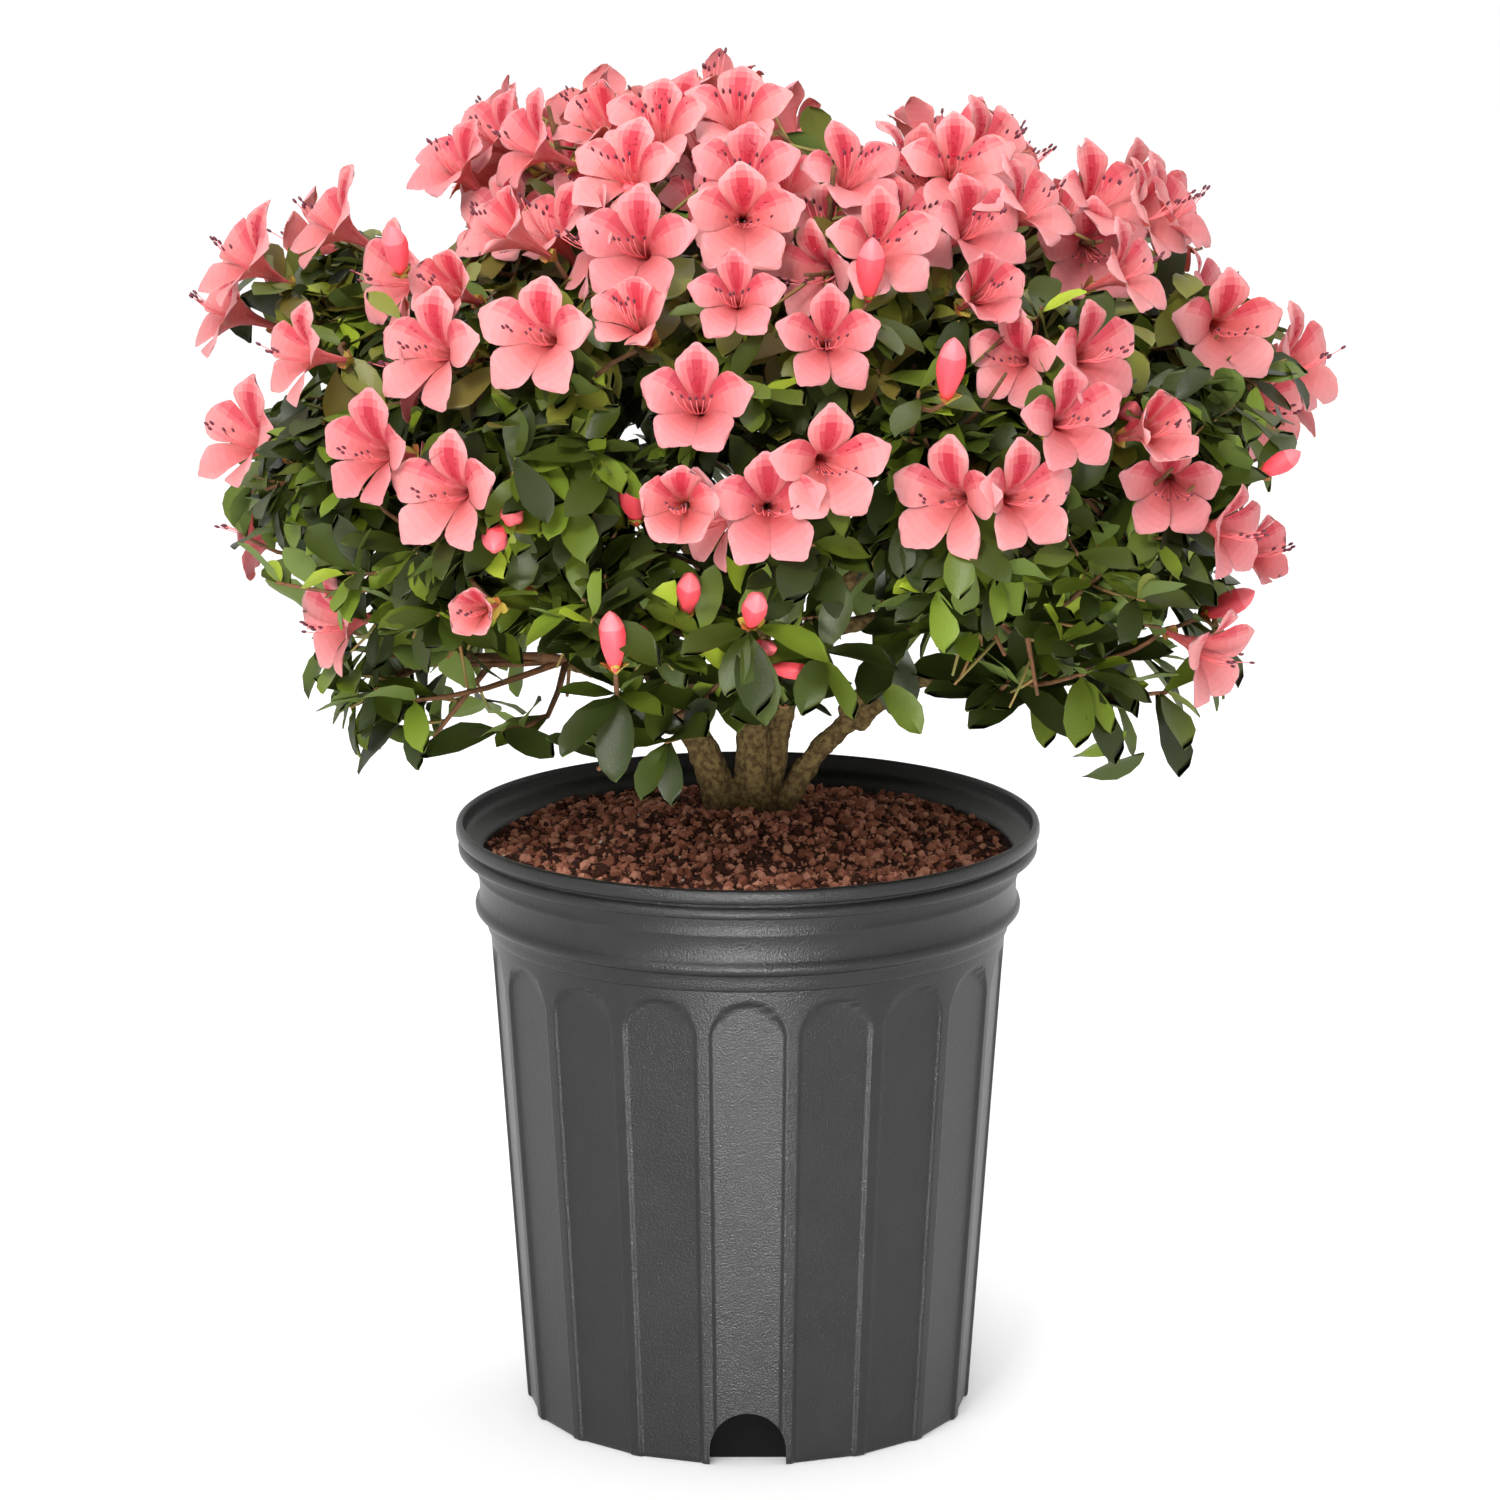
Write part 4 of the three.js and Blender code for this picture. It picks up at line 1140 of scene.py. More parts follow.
def build_piece(
    name: str, shape: Shape, finishes: Sequence["Finish"], sharp: float | None = None
) -> bpy.types.Object:
    """Writes a shape as an object at the origin that rides on the part.

    Args:
        name: The piece's name.
        shape: Its mesh, in millimetres.
        finishes: Its finishes, in the order of the shape's slots.
        sharp: The angle past which an edge is sharp, in degrees. None leaves every edge smooth.

    Returns:
        The object.
    """
    mesh = bpy.data.meshes.new(name)
    mesh.vertices.add(len(shape.points))
    mesh.vertices.foreach_set("co", (shape.points * MM).astype(np.float32).ravel())
    mesh.loops.add(shape.faces.size)
    mesh.loops.foreach_set("vertex_index", shape.faces.astype(np.int32).ravel())
    mesh.polygons.add(len(shape.faces))
    mesh.polygons.foreach_set("loop_start", np.arange(0, shape.faces.size, 3, dtype=np.int32))
    for finish in finishes:
        mesh.materials.append(finish.material())
    mesh.polygons.foreach_set("material_index", shape.slots.astype(np.int32))
    mesh.polygons.foreach_set("use_smooth", np.ones(len(shape.faces), bool))
    mesh.update(calc_edges=True)
    if sharp is not None:
        mesh.set_sharp_from_angle(angle=math.radians(sharp))
    piece = bpy.data.objects.new(name, mesh)
    bpy.context.scene.collection.objects.link(piece)
    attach(piece, "root")
    log.info("%s: %d triangles", name, len(shape.faces))
    return piece


def apply_modifiers(piece: bpy.types.Object) -> None:
    """Puts a piece's modifiers into its mesh for good."""
    evaluated = piece.evaluated_get(bpy.context.evaluated_depsgraph_get())
    mesh = bpy.data.meshes.new_from_object(evaluated)
    piece.modifiers.clear()
    piece.data = mesh


def tubes(centres: Array, radii: Array, sides: int) -> Shape:
    """Makes round tubes with closed ends, all with the same number of rings.

    Each ring is centre + r (side cos(turn) + upright sin(turn)), square to the path. A pole half a
    radius past each end closes it.

    Args:
        centres: The rings' centres, tubes by rings by three.
        radii: The rings' radii, tubes by rings.
        sides: The points of a ring.
    """
    count, rings = centres.shape[:2]
    tangents = unit(np.gradient(centres, axis=1))
    chord = unit(centres[:, -1] - centres[:, 0])
    aside = np.where(np.abs(chord[:, 2:]) < 0.9, UP, np.array([1.0, 0, 0]))
    side = unit(np.cross(aside[:, None, :], tangents))
    upright = np.cross(tangents, side)
    turns = 2 * np.pi * np.arange(sides) / sides
    ring = side[:, :, None] * np.cos(turns)[:, None] + upright[:, :, None] * np.sin(turns)[:, None]
    body = centres[:, :, None] + ring * radii[:, :, None, None]
    first = centres[:, :1] - tangents[:, :1] * radii[:, :1, None] * 0.5
    last = centres[:, -1:] + tangents[:, -1:] * radii[:, -1:, None] * 0.5
    points = np.concatenate([body.reshape(count, rings * sides, 3), first, last], axis=1)
    return Shape.repeated(points, closed_faces(rings, sides))


def round_places(reach: Array, turns: Array) -> Array:
    """Returns places at distances from the upright axis and turns about it, where turn 0 is in front."""
    return np.stack([reach * np.sin(turns), -reach * np.cos(turns)], -1)


def lifted(places: Array, heights: Array) -> Array:
    """Returns level places with their heights."""
    return np.concatenate([places, np.broadcast_to(heights, places.shape[:-1])[..., None]], -1)


def tapered(ends: Array, shares: Array) -> Array:
    """Returns radii that run evenly from the first to the second of each pair of ends."""
    return ends[:, :1] * (1 - shares) + ends[:, 1:] * shares


def lens_faces(rows: int, columns: int) -> tuple[Array, Array, Array]:
    """Works out a thin closed blade: a grid above and a grid below that share their border.

    Args:
        rows: The points along the blade.
        columns: The points across it.

    Returns:
        The triangles over the points of both grids, whether each belongs to the lower side, and the
        places of the inner points of a grid, which the lower grid repeats.
    """
    upper = np.arange(rows * columns).reshape(rows, columns)
    inner = upper[1:-1, 1:-1].ravel()
    lower = upper.copy().ravel()
    lower[inner] = rows * columns + np.arange(len(inner))
    top = grid_faces(rows, columns, False)
    bottom = lower[top][:, ::-1]
    below = np.concatenate([np.zeros(len(top), bool), np.ones(len(top), bool)])
    return np.vstack([top, bottom]), below, inner


# ---------------------------------------------------------------- finishes


def linear(colour: Colour) -> tuple[float, float, float, float]:
    """Returns a screen colour of 0 to 255 as the light that a shader takes."""
    shares = [channel / 255 for channel in colour]
    light = [c / 12.92 if c <= 0.04045 else ((c + 0.055) / 1.055) ** 2.4 for c in shares]
    return (*light, 1.0)


class Nodes:
    """The nodes of a material or a node group, with short ways to add and join them."""

    def __init__(self, tree: bpy.types.NodeTree) -> None:
        """Keeps the tree."""
        self.tree = tree

    def add(self, kind: str, **values: object) -> bpy.types.Node:
        """Adds a node.

        Args:
            kind: The node's type, without the words that all types start with.
            values: Its properties, or the values of its inputs by name.
        """
        node = self.tree.nodes.new(kind if kind.startswith("NodeGroup") else f"ShaderNode{kind}")
        for key, value in values.items():
            if hasattr(node, key):
                setattr(node, key, value)
            else:
                self.feed(node.inputs[key], value)
        return node

    def feed(self, target: bpy.types.NodeSocket, value: object) -> None:
        """Joins an output to an input, or gives the input a value."""
        if isinstance(value, bpy.types.NodeSocket):
            self.tree.links.new(value, target)
        else:
            target.default_value = value

    def math(self, operation: str, *values: object) -> bpy.types.NodeSocket:
        """Adds a sum of numbers and outputs, and returns its result."""
        node = self.add("Math", operation=operation)
        for target, value in zip(node.inputs, values):
            self.feed(target, value)
        return node.outputs[0]


def grain_group() -> bpy.types.NodeTree:
    """Makes the group that gives two scales of grain over a surface.

    Its inputs are the coarse and the fine scale and how far the roughness sways about a middle value.
    It gives a roughness, a height, and a mask of the coarse patches.
    """
    tree = bpy.data.node_groups.new("surface_grain", "ShaderNodeTree")
    for title, value in {"Coarse": 40.0, "Fine": 400.0, "Middle": 0.5, "Sway": 0.1}.items():
        socket = tree.interface.new_socket(title, in_out="INPUT", socket_type="NodeSocketFloat")
        socket.default_value = value
    for title in ("Roughness", "Height", "Patches"):
        tree.interface.new_socket(title, in_out="OUTPUT", socket_type="NodeSocketFloat")
    nodes = Nodes(tree)
    given, out = nodes.add("NodeGroupInput").outputs, nodes.add("NodeGroupOutput")
    place = nodes.add("TexCoord").outputs["Object"]
    coarse, fine = (
        nodes.add("TexNoise", Detail=detail, Vector=place, Scale=given[title]).outputs["Fac"]
        for title, detail in (("Coarse", 3.0), ("Fine", 2.0))
    )
    blend = nodes.math("MULTIPLY_ADD", fine, 0.5, nodes.math("MULTIPLY", coarse, 0.5))
    sway = nodes.math("MULTIPLY_ADD", nodes.math("SUBTRACT", blend, 0.5), given["Sway"], given["Middle"])
    for title, value in {"Roughness": sway, "Height": fine, "Patches": coarse}.items():
        nodes.feed(out.inputs[title], value)
    return tree


@dataclass(frozen=True)
class Finish:
    """A surface: its colours, its gloss and its grain."""

    name: str
    colour: Colour
    second: Colour | None = None  # the colour of its patches, if it has any
    roughness: float = 0.5
    sway: float = 0.15  # how far the roughness sways
    coarse: float = 60.0  # the scale of its patches, per metre
    fine: float = 600.0  # the scale of its grain, per metre
    relief: float = 0.1  # the depth of its grain, in millimetres
    specular: float = 0.5  # how strongly it mirrors, where 0.5 is usual
    glow: float = 0.0  # the share of the light that passes under its surface

    def material(self) -> bpy.types.Material:
        """Makes the material, once for each name."""
        if self.name in bpy.data.materials:
            return bpy.data.materials[self.name]
        made = bpy.data.materials.new(self.name)
        made.use_nodes = True
        nodes = Nodes(made.node_tree)
        shader = made.node_tree.nodes["Principled BSDF"].inputs
        grain = nodes.add("Group", node_tree=bpy.data.node_groups.get("surface_grain") or grain_group())
        given = {"Coarse": self.coarse, "Fine": self.fine, "Middle": self.roughness, "Sway": self.sway}
        for title, value in given.items():
            grain.inputs[title].default_value = value
        bump = nodes.add("Bump", Strength=1.0, Distance=self.relief * MM, Height=grain.outputs["Height"])
        looks = {
            "Base Color": linear(self.colour),
            "Specular IOR Level": self.specular,
            "Subsurface Weight": self.glow,
            "Subsurface Scale": 0.003,
            "Roughness": grain.outputs["Roughness"],
            "Normal": bump.outputs["Normal"],
        }
        for title, value in looks.items():
            nodes.feed(shader[title], value)
        if self.second:
            ramp = nodes.add("ValToRGB", Fac=grain.outputs["Patches"])
            for element, place, colour in zip(
                ramp.color_ramp.elements, (0.38, 0.62), (self.colour, self.second)
            ):
                element.position, element.color = place, linear(colour)
            nodes.feed(shader["Base Color"], ramp.outputs["Color"])
        return made


# ---------------------------------------------------------------- foliage


@dataclass
class LeafMaker:
    """Builds leaves and bud scales as thin closed blades."""

    stations: tuple[float, ...] = (0.0, 0.09, 0.26, 0.48, 0.7, 0.88, 1.0)  # shares of the length
    half_widths: tuple[float, ...] = (0.018, 0.055, 0.142, 0.2, 0.205, 0.135, 0.02)  # as shares too
    fold: float = 0.26  # how far each half rises from the midrib, as a share of its width
    thickness: float = 0.35  # the blade's, in millimetres

    def blades(self, leaves: Sequence[Leaf], width: float, slots: Array) -> Shape:
        """Builds a batch of blades.

        A point at share u along and v across, from -1 to 1, lies at x = w(u) v + bend u^2,
        y = length (u - 0.04 u^3) and z = fold |w(u) v| - droop u^2 + wave sin(9 u + phase) v. The
        lower side lies a thickness below, and both share the border.

        Args:
            leaves: The leaves.
            width: Their width beside a usual leaf's.
            slots: The finishes of each leaf's upper and lower side, leaves by two.
        """
        rows = len(self.stations)
        u = np.array(self.stations)[None, :, None]
        v = np.array([-1.0, 0.0, 1.0])[None, None, :]
        length, seed = (each(leaves, name)[:, None, None] for name in ("length", "seed"))
        other = (seed * 7.13) % 1
        half = np.array(self.half_widths)[None, :, None] * length * width * (0.88 + 0.28 * other)
        x = half * v + 0.05 * length * (seed - 0.5) * u**2
        y = length * (u - 0.04 * u**3)
        wave = 0.018 * length * np.sin(9 * u + 6.28 * seed) * v
        droop = (0.03 + 0.2 * seed) * length * u**2
        z = (self.fold + 0.25 * (other - 0.5)) * np.abs(half * v) - droop + wave
        local = np.stack(np.broadcast_arrays(x, y, z), -1).reshape(len(leaves), rows * 3, 3)
        faces, below, inner = lens_faces(rows, 3)
        under = local[:, inner] - np.array([0, 0, self.thickness])
        local = np.concatenate([local, under], axis=1)
        axes = axes_at(each(leaves, "along"), each(leaves, "facing"))
        points = each(leaves, "root")[:, None] + local @ axes
        return Shape.repeated(points, faces, np.where(below, slots[:, 1:], slots[:, :1]))


@dataclass
class FlowerMaker:
    """Builds open flowers, their stamens, and closed buds."""

    # for each row along a petal its share, radius, depth, half width and how far it bows back
    rows: tuple = (
        (0.00, 1.2, 0.0, 0.75, 0.0),
        (0.12, 1.8, 7.5, 1.15, 0.0),
        (0.24, 2.8, 14.0, 1.8, 0.1),
        (0.35, 4.6, 19.5, 3.1, 0.2),
        (0.44, 7.0, 23.6, 4.9, 0.5),
        (0.53, 9.8, 27.0, 6.9, 0.8),
        (0.62, 12.9, 29.6, 8.7, 1.2),
        (0.71, 16.3, 31.5, 10.0, 1.7),
        (0.80, 19.9, 32.7, 10.3, 2.4),
        (0.88, 23.2, 33.2, 9.3, 3.2),
        (0.95, 26.0, 33.2, 7.0, 3.8),
        (1.00, 28.0, 32.8, 3.4, 3.6),
    )
    columns: tuple[float, ...] = (-1.0, -0.76, -0.5, -0.25, 0.0, 0.25, 0.5, 0.76, 1.0)  # across it
    thickness: float = 0.35  # a petal's, in millimetres
    stamens: int = 6  # how many a flower has
    speck_count: int = 16  # how many speckles a flower has
    ramp: int = 10  # how many tones there are from the tube to the border
    blotch: int = 4  # how many tones the blotch has
    seeds: tuple[int, int, int] = (71, 19, 5)  # of the petals, the stamens and the speckles

    def petals(self, blooms: Sequence[Bloom]) -> Shape:
        """Builds the petals of a batch of flowers.

        Row by row a petal is a strip w(u) to each side of a line that climbs the funnel at radius r(u)
        and depth d(u) and spreads. In the tube the strip curls round the axis, so five of them close
        it. Beyond, its edges bow back, ripple and rise on one side over the next petal.

        Args:
            blooms: The flowers.
        """
        rows = np.array(self.rows)
        count, n_rows, n_columns = len(blooms), len(rows), len(self.columns)
        u, r, d, w, bow = (rows[:, k][None, None, :, None] for k in range(5))
        v = np.array(self.columns)[None, None, None, :]
        random = np.random.default_rng(self.seeds[0])
        shape = (count, 5, 1, 1)
        opened = each(blooms, "open")[:, None, None, None] * random.uniform(0.93, 1.05, (count, 1, 1, 1))
        limb = np.clip((u - 0.3) / 0.7, 0, 1)
        lobe = np.clip((u - 0.5) / 0.5, 0, 1)
        recurve = random.uniform(-2.5, 3.5, shape) * lobe**2 - 5.5 * (opened - 1) * limb
        long = random.uniform(0.94, 1.07, shape)
        radius = r * (1 - (1 - opened) * 0.9 * limb) * np.where(u > 0.5, 1 + (long - 1) * lobe, 1)
        depth = d + (1 - opened) * 15 * limb**1.2 - recurve
        wide = w * random.uniform(0.93, 1.08, shape) * np.where(opened < 0.8, 0.86, 1)
        skew = random.uniform(-1.6, 1.6, shape) * lobe
        ripple = random.uniform(0.5, 1.4, shape)
        phase = random.uniform(0, 6.28, shape)
        curled = np.clip(1 - (u - 0.3) / 0.25, 0, 1)
        turn = np.clip(wide / np.maximum(radius, 0.5), 0, 0.66) * v
        across = curled * radius * np.sin(turn) + (1 - curled) * wide * v + skew
        inward = curled * radius * (1 - np.cos(turn)) + (1 - curled) * bow * v**2
        notch = 0.5 * np.exp(-((v / 0.25) ** 2)) * np.clip((u - 0.93) / 0.07, 0, 1)
        out = radius - inward - notch
        edge = np.abs(v) ** 2
        depth = depth + (1 - curled) * (
            ripple * edge * np.sin(11 * u + phase + 1.2 * np.sign(v)) * (0.4 + lobe)
            + 0.9 * v * (1 - 0.5 * lobe)
            - 0.8 * np.exp(-((v / 0.22) ** 2)) * lobe * (1 - lobe) * 2.2
        )
        depth = depth + random.uniform(-0.5, 0.5, (count, 5, n_rows, n_columns)) * lobe * 0.7
        turns = (2 * np.pi * np.arange(5) / 5)[None, :, None, None]
        grid = self.turned(out, across, depth, turns + random.uniform(-0.07, 0.07, shape) * lobe)
        grid = grid.reshape(count * 5, n_rows, n_columns, 3)
        normal = unit(np.cross(np.gradient(grid, axis=1), np.gradient(grid, axis=2)))
        local, normal = (a.reshape(count * 5, n_rows * n_columns, 3) for a in (grid, normal))
        faces, below, inner = lens_faces(n_rows, n_columns)
        under = local[:, inner] + normal[:, inner] * self.thickness
        size, roots, axes = (
            np.repeat(a, 5, axis=0) for a in (each(blooms, "size"), each(blooms, "root"), self.axes(blooms))
        )
        local = np.concatenate([local, under], axis=1) * size[:, None, None]
        hue = (each(blooms, "seed").astype(int) % 3 == 0) * (self.ramp + self.blotch)
        dealt = (self.petal_slots(below)[None] + hue[:, None, None]).reshape(count * 5, -1)
        return Shape.repeated(roots[:, None, :] + local @ axes, faces, dealt)

    def turned(self, out: Array, across: Array, depth: Array, angle: Array) -> Array:
        """Returns points out from the flower's axis and across it, turned about it, at a depth."""
        x = out * np.sin(angle) + across * np.cos(angle)
        z = out * np.cos(angle) - across * np.sin(angle)
        return np.stack(np.broadcast_arrays(x, depth, z), -1)

    def axes(self, blooms: Sequence[Bloom]) -> Array:
        """Returns the frames of the flowers: y along the axis and z towards the top petal."""
        return axes_at(each(blooms, "along"), each(blooms, "facing"))

    def placed(self, local: Array, blooms: Sequence[Bloom]) -> Array:
        """Moves points from the flowers' frames to the part's, flowers by groups by points by three."""
        sized = local * each(blooms, "size")[:, None, None, None]
        return np.einsum("cnkj,cji->cnki", sized, self.axes(blooms)) + each(blooms, "root")[:, None, None]

    def petal_slots(self, below: Array) -> Array:
        """Deals the tones of five petals: paler from the throat out, with a blotch on the top one.

        The blotch and its blush on the neighbours fade as exp(-((v - c) / s)^2) across the petal.

        Args:
            below: Whether each triangle belongs to the petal's inner side.

        Returns:
            Petals by triangles: the ramp from the tube to the border, then the blotch inwards.
        """
        rows, places = np.array(self.rows)[:, 0], np.array(self.columns)
        u, v = np.meshgrid((rows[1:] + rows[:-1]) / 2, (places[1:] + places[:-1]) / 2, indexing="ij")
        u, v = np.tile(u.ravel(), 4), np.tile(v.ravel(), 4)
        pale = np.interp(u, (0.1, 0.4, 0.55, 0.72, 0.88, 1.0), (0, 1.4, 3.4, 5.8, 8.0, 9.2)) + 1.4 * v**2
        tone = np.clip(pale, 0, self.ramp - 1).astype(int)
        length = np.interp(u, (0.28, 0.42, 0.52, 0.74, 0.86, 0.95), (0.2, 0.75, 1.0, 0.85, 0.45, 0.0))
        dealt = []
        for middle, share in ((0, 1.0), (-0.75, 0.62), (0, 0), (0, 0), (0.75, 0.62)):
            blush = share * length * np.exp(-(((v - middle) / 0.5) ** 2))
            deep = (blush > 0.3).astype(int) + (blush > 0.5) + (blush > 0.72)
            dealt.append(np.where(blush > 0.15, self.ramp + deep, tone))
        return np.where(below, np.array(dealt), np.clip(pale, 0, self.ramp - 2).astype(int))

    def filaments(self, blooms: Sequence[Bloom]) -> tuple[Shape, Shape]:
        """Builds the stamens: threads that leave the throat low, sweep out and curl up, and their anthers.

        A thread runs along b + s t + c t^3, where s spreads with its number and c curls it up.

        Args:
            blooms: The flowers.

        Returns:
            The threads, and the anthers at their tips.
        """
        random = np.random.default_rng(self.seeds[1])
        count, n = len(blooms), self.stamens
        spread = np.linspace(-1, 1, n)[None, :] + random.uniform(-0.12, 0.12, (count, n))
        sway = random.uniform(-1, 1, (count, 1)) * 2.5
        t = np.linspace(0, 1, 5)
        reach = random.uniform(0.82, 1.1, (count, n))
        x = (0.9 * spread)[..., None] + ((8.2 * spread + sway) * reach)[..., None] * t
        y = 14 + (30.0 * reach)[..., None] * t
        z = -1.2 + (-6.5 * (1 - 0.4 * np.abs(spread)))[..., None] * t + 6.5 * t**3
        narrow = np.where(each(blooms, "open") > 0.8, 1.0, 0.5)[:, None, None]
        local = np.stack(np.broadcast_arrays(x * narrow, y, z), -1)
        paths = self.placed(local, blooms).reshape(count * n, 5, 3)
        threads = tubes(paths, np.full((count * n, 5), 0.32) * np.linspace(1.1, 0.8, 5), 3)
        shares = np.array([-0.1, 1.1, 2.3])[None, :, None]
        grains = paths[:, -1:] + unit(paths[:, -1:] - paths[:, -2:-1]) * shares
        return threads, tubes(grains, np.tile([0.5, 0.72, 0.4], (count * n, 1)), 4)

    def speckles(self, blooms: Sequence[Bloom]) -> Shape:
        """Builds the dark speckles in the throat of the upper petals, as small flat lozenges.

        Args:
            blooms: The flowers.
        """
        random = np.random.default_rng(self.seeds[2])
        rows = np.array(self.rows)
        count, n = len(blooms), self.speck_count
        u = random.uniform(0.44, 0.72, (count, n))
        petal = random.choice([0, 0, 0, 0, 1, 4], (count, n))
        v = random.uniform(-0.42, 0.42, (count, n))
        v = np.where(petal == 1, -0.62 + 0.3 * v, np.where(petal == 4, 0.62 + 0.3 * v, v))
        r, d, w, bow = (np.interp(u, rows[:, 0], rows[:, k]) for k in (1, 2, 3, 4))
        length = random.uniform(0.7, 1.3, (count, n))
        turn = 2 * np.pi * petal / 5
        corners = []
        for du, dv in ((-1.0, 0.0), (0.0, 0.42), (1.0, 0.0), (0.0, -0.42)):
            out = r - bow * v**2 + du * length * 0.72
            across = w * v + dv * 1.0
            depth = d + 0.75 + 0.9 * v + du * length * 0.55
            corners.append(self.turned(out, across, depth, turn))
        flat = np.stack(corners, 2)
        middle = flat.mean(axis=2, keepdims=True)
        local = np.concatenate([flat, middle + 0.3 * FORTH, middle - 0.6 * FORTH], axis=2)
        points = self.placed(local, blooms)[each(blooms, "open") > 0.8].reshape(-1, 6, 3)
        return Shape.repeated(points, np.vstack([fan_faces(4, 0, 4, True), fan_faces(5, 0, 4, False)]))

    def buds(self, buds: Sequence[Bud]) -> Shape:
        """Builds the closed buds: spindles of five petals wound about each other.

        The radius at share u and turn a is R(u) (0.9 + 0.2 |sin((5 a + 5 u) / 2)|).

        Args:
            buds: The buds.
        """
        sides = 20
        u = np.array([0.0, 0.06, 0.16, 0.3, 0.45, 0.6, 0.74, 0.86, 0.95, 1.0])
        profile = np.array([0.05, 0.075, 0.11, 0.15, 0.185, 0.2, 0.185, 0.14, 0.075, 0.02])
        a = 2 * np.pi * np.arange(sides) / sides
        wound = 0.9 + 0.2 * np.abs(np.sin((5 * a[None, :] + 5 * u[:, None]) / 2))
        ring = profile[:, None] * wound
        body = np.stack(np.broadcast_arrays(ring * np.cos(a), u[:, None], ring * np.sin(a)), -1)
        local = np.vstack([body.reshape(-1, 3), [-0.01 * FORTH, 1.01 * FORTH]])
        rows = len(u)
        between = np.tile(np.repeat(np.arange(rows - 1), sides), 2)
        row = np.concatenate([between, np.repeat([0, rows - 1], sides)])
        slots = (row >= 2).astype(int) + (row >= 6)
        along = each(buds, "along")
        axes = axes_at(along, np.broadcast_to(UP + 0.01, along.shape))
        points = each(buds, "root")[:, None] + (local * each(buds, "length")[:, None, None]) @ axes
        return Shape.repeated(points, closed_faces(rows, sides)[:, ::-1], slots)


# ---------------------------------------------------------------- pot


@dataclass
class Pot:
    """The pot: a tapering shell with a beaded rim, a collar, flutes and three drain pockets."""

    # radius and height of the rim's outside, from the collar's foot up to the lip
    rim: tuple = (
        (119.3, 229.0), (120.1, 229.5), (120.6, 230.4), (120.8, 233.0), (121.1, 235.4), (121.5, 236.6),
        (123.4, 237.3), (125.0, 238.1), (126.1, 239.4), (126.3, 241.0), (125.9, 242.6), (124.9, 243.5),
        (124.4, 244.5), (124.2, 248.0), (124.5, 254.6), (125.2, 256.0), (125.4, 257.2), (124.9, 258.4),
        (125.0, 261.0), (125.6, 264.2), (127.2, 265.1), (131.0, 265.6), (133.1, 266.2), (133.9, 267.3),
        (134.0, 268.8), (133.6, 270.2), (132.4, 271.0), (131.8, 271.6), (132.0, 272.6), (133.4, 273.1),
        (134.5, 273.9), (135.0, 275.2), (135.0, 278.0), (134.6, 279.2), (133.8, 279.8), (133.0, 280.0),
    )
    # radius and height of the inside, from the lip down to the middle of the floor
    inside: tuple = (
        (132.4, 279.9), (131.9, 279.3), (131.7, 278.0), (131.2, 274.6), (130.6, 272.6), (129.0, 271.4),
        (124.6, 268.6), (122.4, 266.9), (121.8, 264.0), (119.6, 250.0), (115.6, 229.0), (98.9, 4.5),
        (98.0, 2.9), (96.0, 2.4), (50.0, 2.4),
    )
    # radius and height of the underside and the foot's edge
    foot: tuple = ((60.0, 0.0), (95.0, 0.0), (102.2, 0.0), (103.1, 0.35), (103.5, 1.1))
    foot_radius: float = 103.5
    flute_foot: float = 98.0  # how far in under the foot the flutes run
    floor: float = 2.4  # the height of the inside's floor
    collar: tuple[float, float] = (119.3, 229.0)  # radius and height where the wall meets the collar
    # how many flutes there are, the share of the pitch that one takes, its depth, top and eased edge
    flutes: tuple[int, float, float, float, float] = (18, 0.83, 2.4, 223.0, 2.0)
    # a drain pocket's width, height and depth, and its wall
    drains: tuple[float, float, float, float] = (35.0, 25.0, 13.0, 2.6)
    drain_reach: float = 99.4  # how far out the pockets' walls reach, inside the pot's own
    # the turns across one flute at which the wall is cut, in degrees
    pitch_places: tuple[float, ...] = (
        -10, -9.55, -9.2, -8.95, -8.7, -8.45, -8.2, -7.95, -7.7, -7.45, -7.15, -6.4,
        -4.6, -2.3, 0, 2.3, 4.6, 6.4, 7.15, 7.45, 7.7, 7.95, 8.2, 8.45, 8.7, 8.95, 9.2, 9.55,
    )

    def wall(self, height: Array | float) -> Array | float:
        """Returns the outside's radius at a height under the collar."""
        return self.foot_radius + (self.collar[0] - self.foot_radius) * height / self.collar[1]

    def shell(self) -> Shape:
        """Builds the shell as a profile turned about the upright axis.

        A flute's face is flat, at (r - depth) / cos(turn) from the axis, and its edge eases in over
        the distance from its outline: two lines of constant angle under a half round head.
        """
        heights = np.concatenate([np.arange(3.0, 196.0, 12.0), np.arange(196.0, 228.6, 1.35)])
        profile = np.array([*self.foot, *zip(self.wall(heights), heights), *self.rim, *self.inside])
        count, share, depth, top, ease = self.flutes
        pitch, places = 360 / count, np.array(self.pitch_places)
        turns = np.radians((np.arange(count)[:, None] * pitch + places).ravel())
        r, z = profile[:, :1], profile[:, 1:]
        off = np.radians(np.tile(places, count))[None, :]
        half = math.radians(pitch / 2 * share)
        arch = half * self.wall(top)
        flat = (r - depth) / np.cos(off)
        straight = (half - np.abs(off)) * r
        round_head = arch - np.hypot(off * r, z - (top - arch))
        outline = np.where(z < top - arch, straight, round_head)
        outside = np.arange(len(profile))[:, None] < len(self.foot) + len(heights)
        sunk = smooth_step(outline, -ease / 2, ease / 2) * outside * (r > self.flute_foot)
        radius = r + (flat - r) * sunk
        return Shape.turned(lifted(round_places(radius, turns), z), [0 * UP, self.floor * UP])

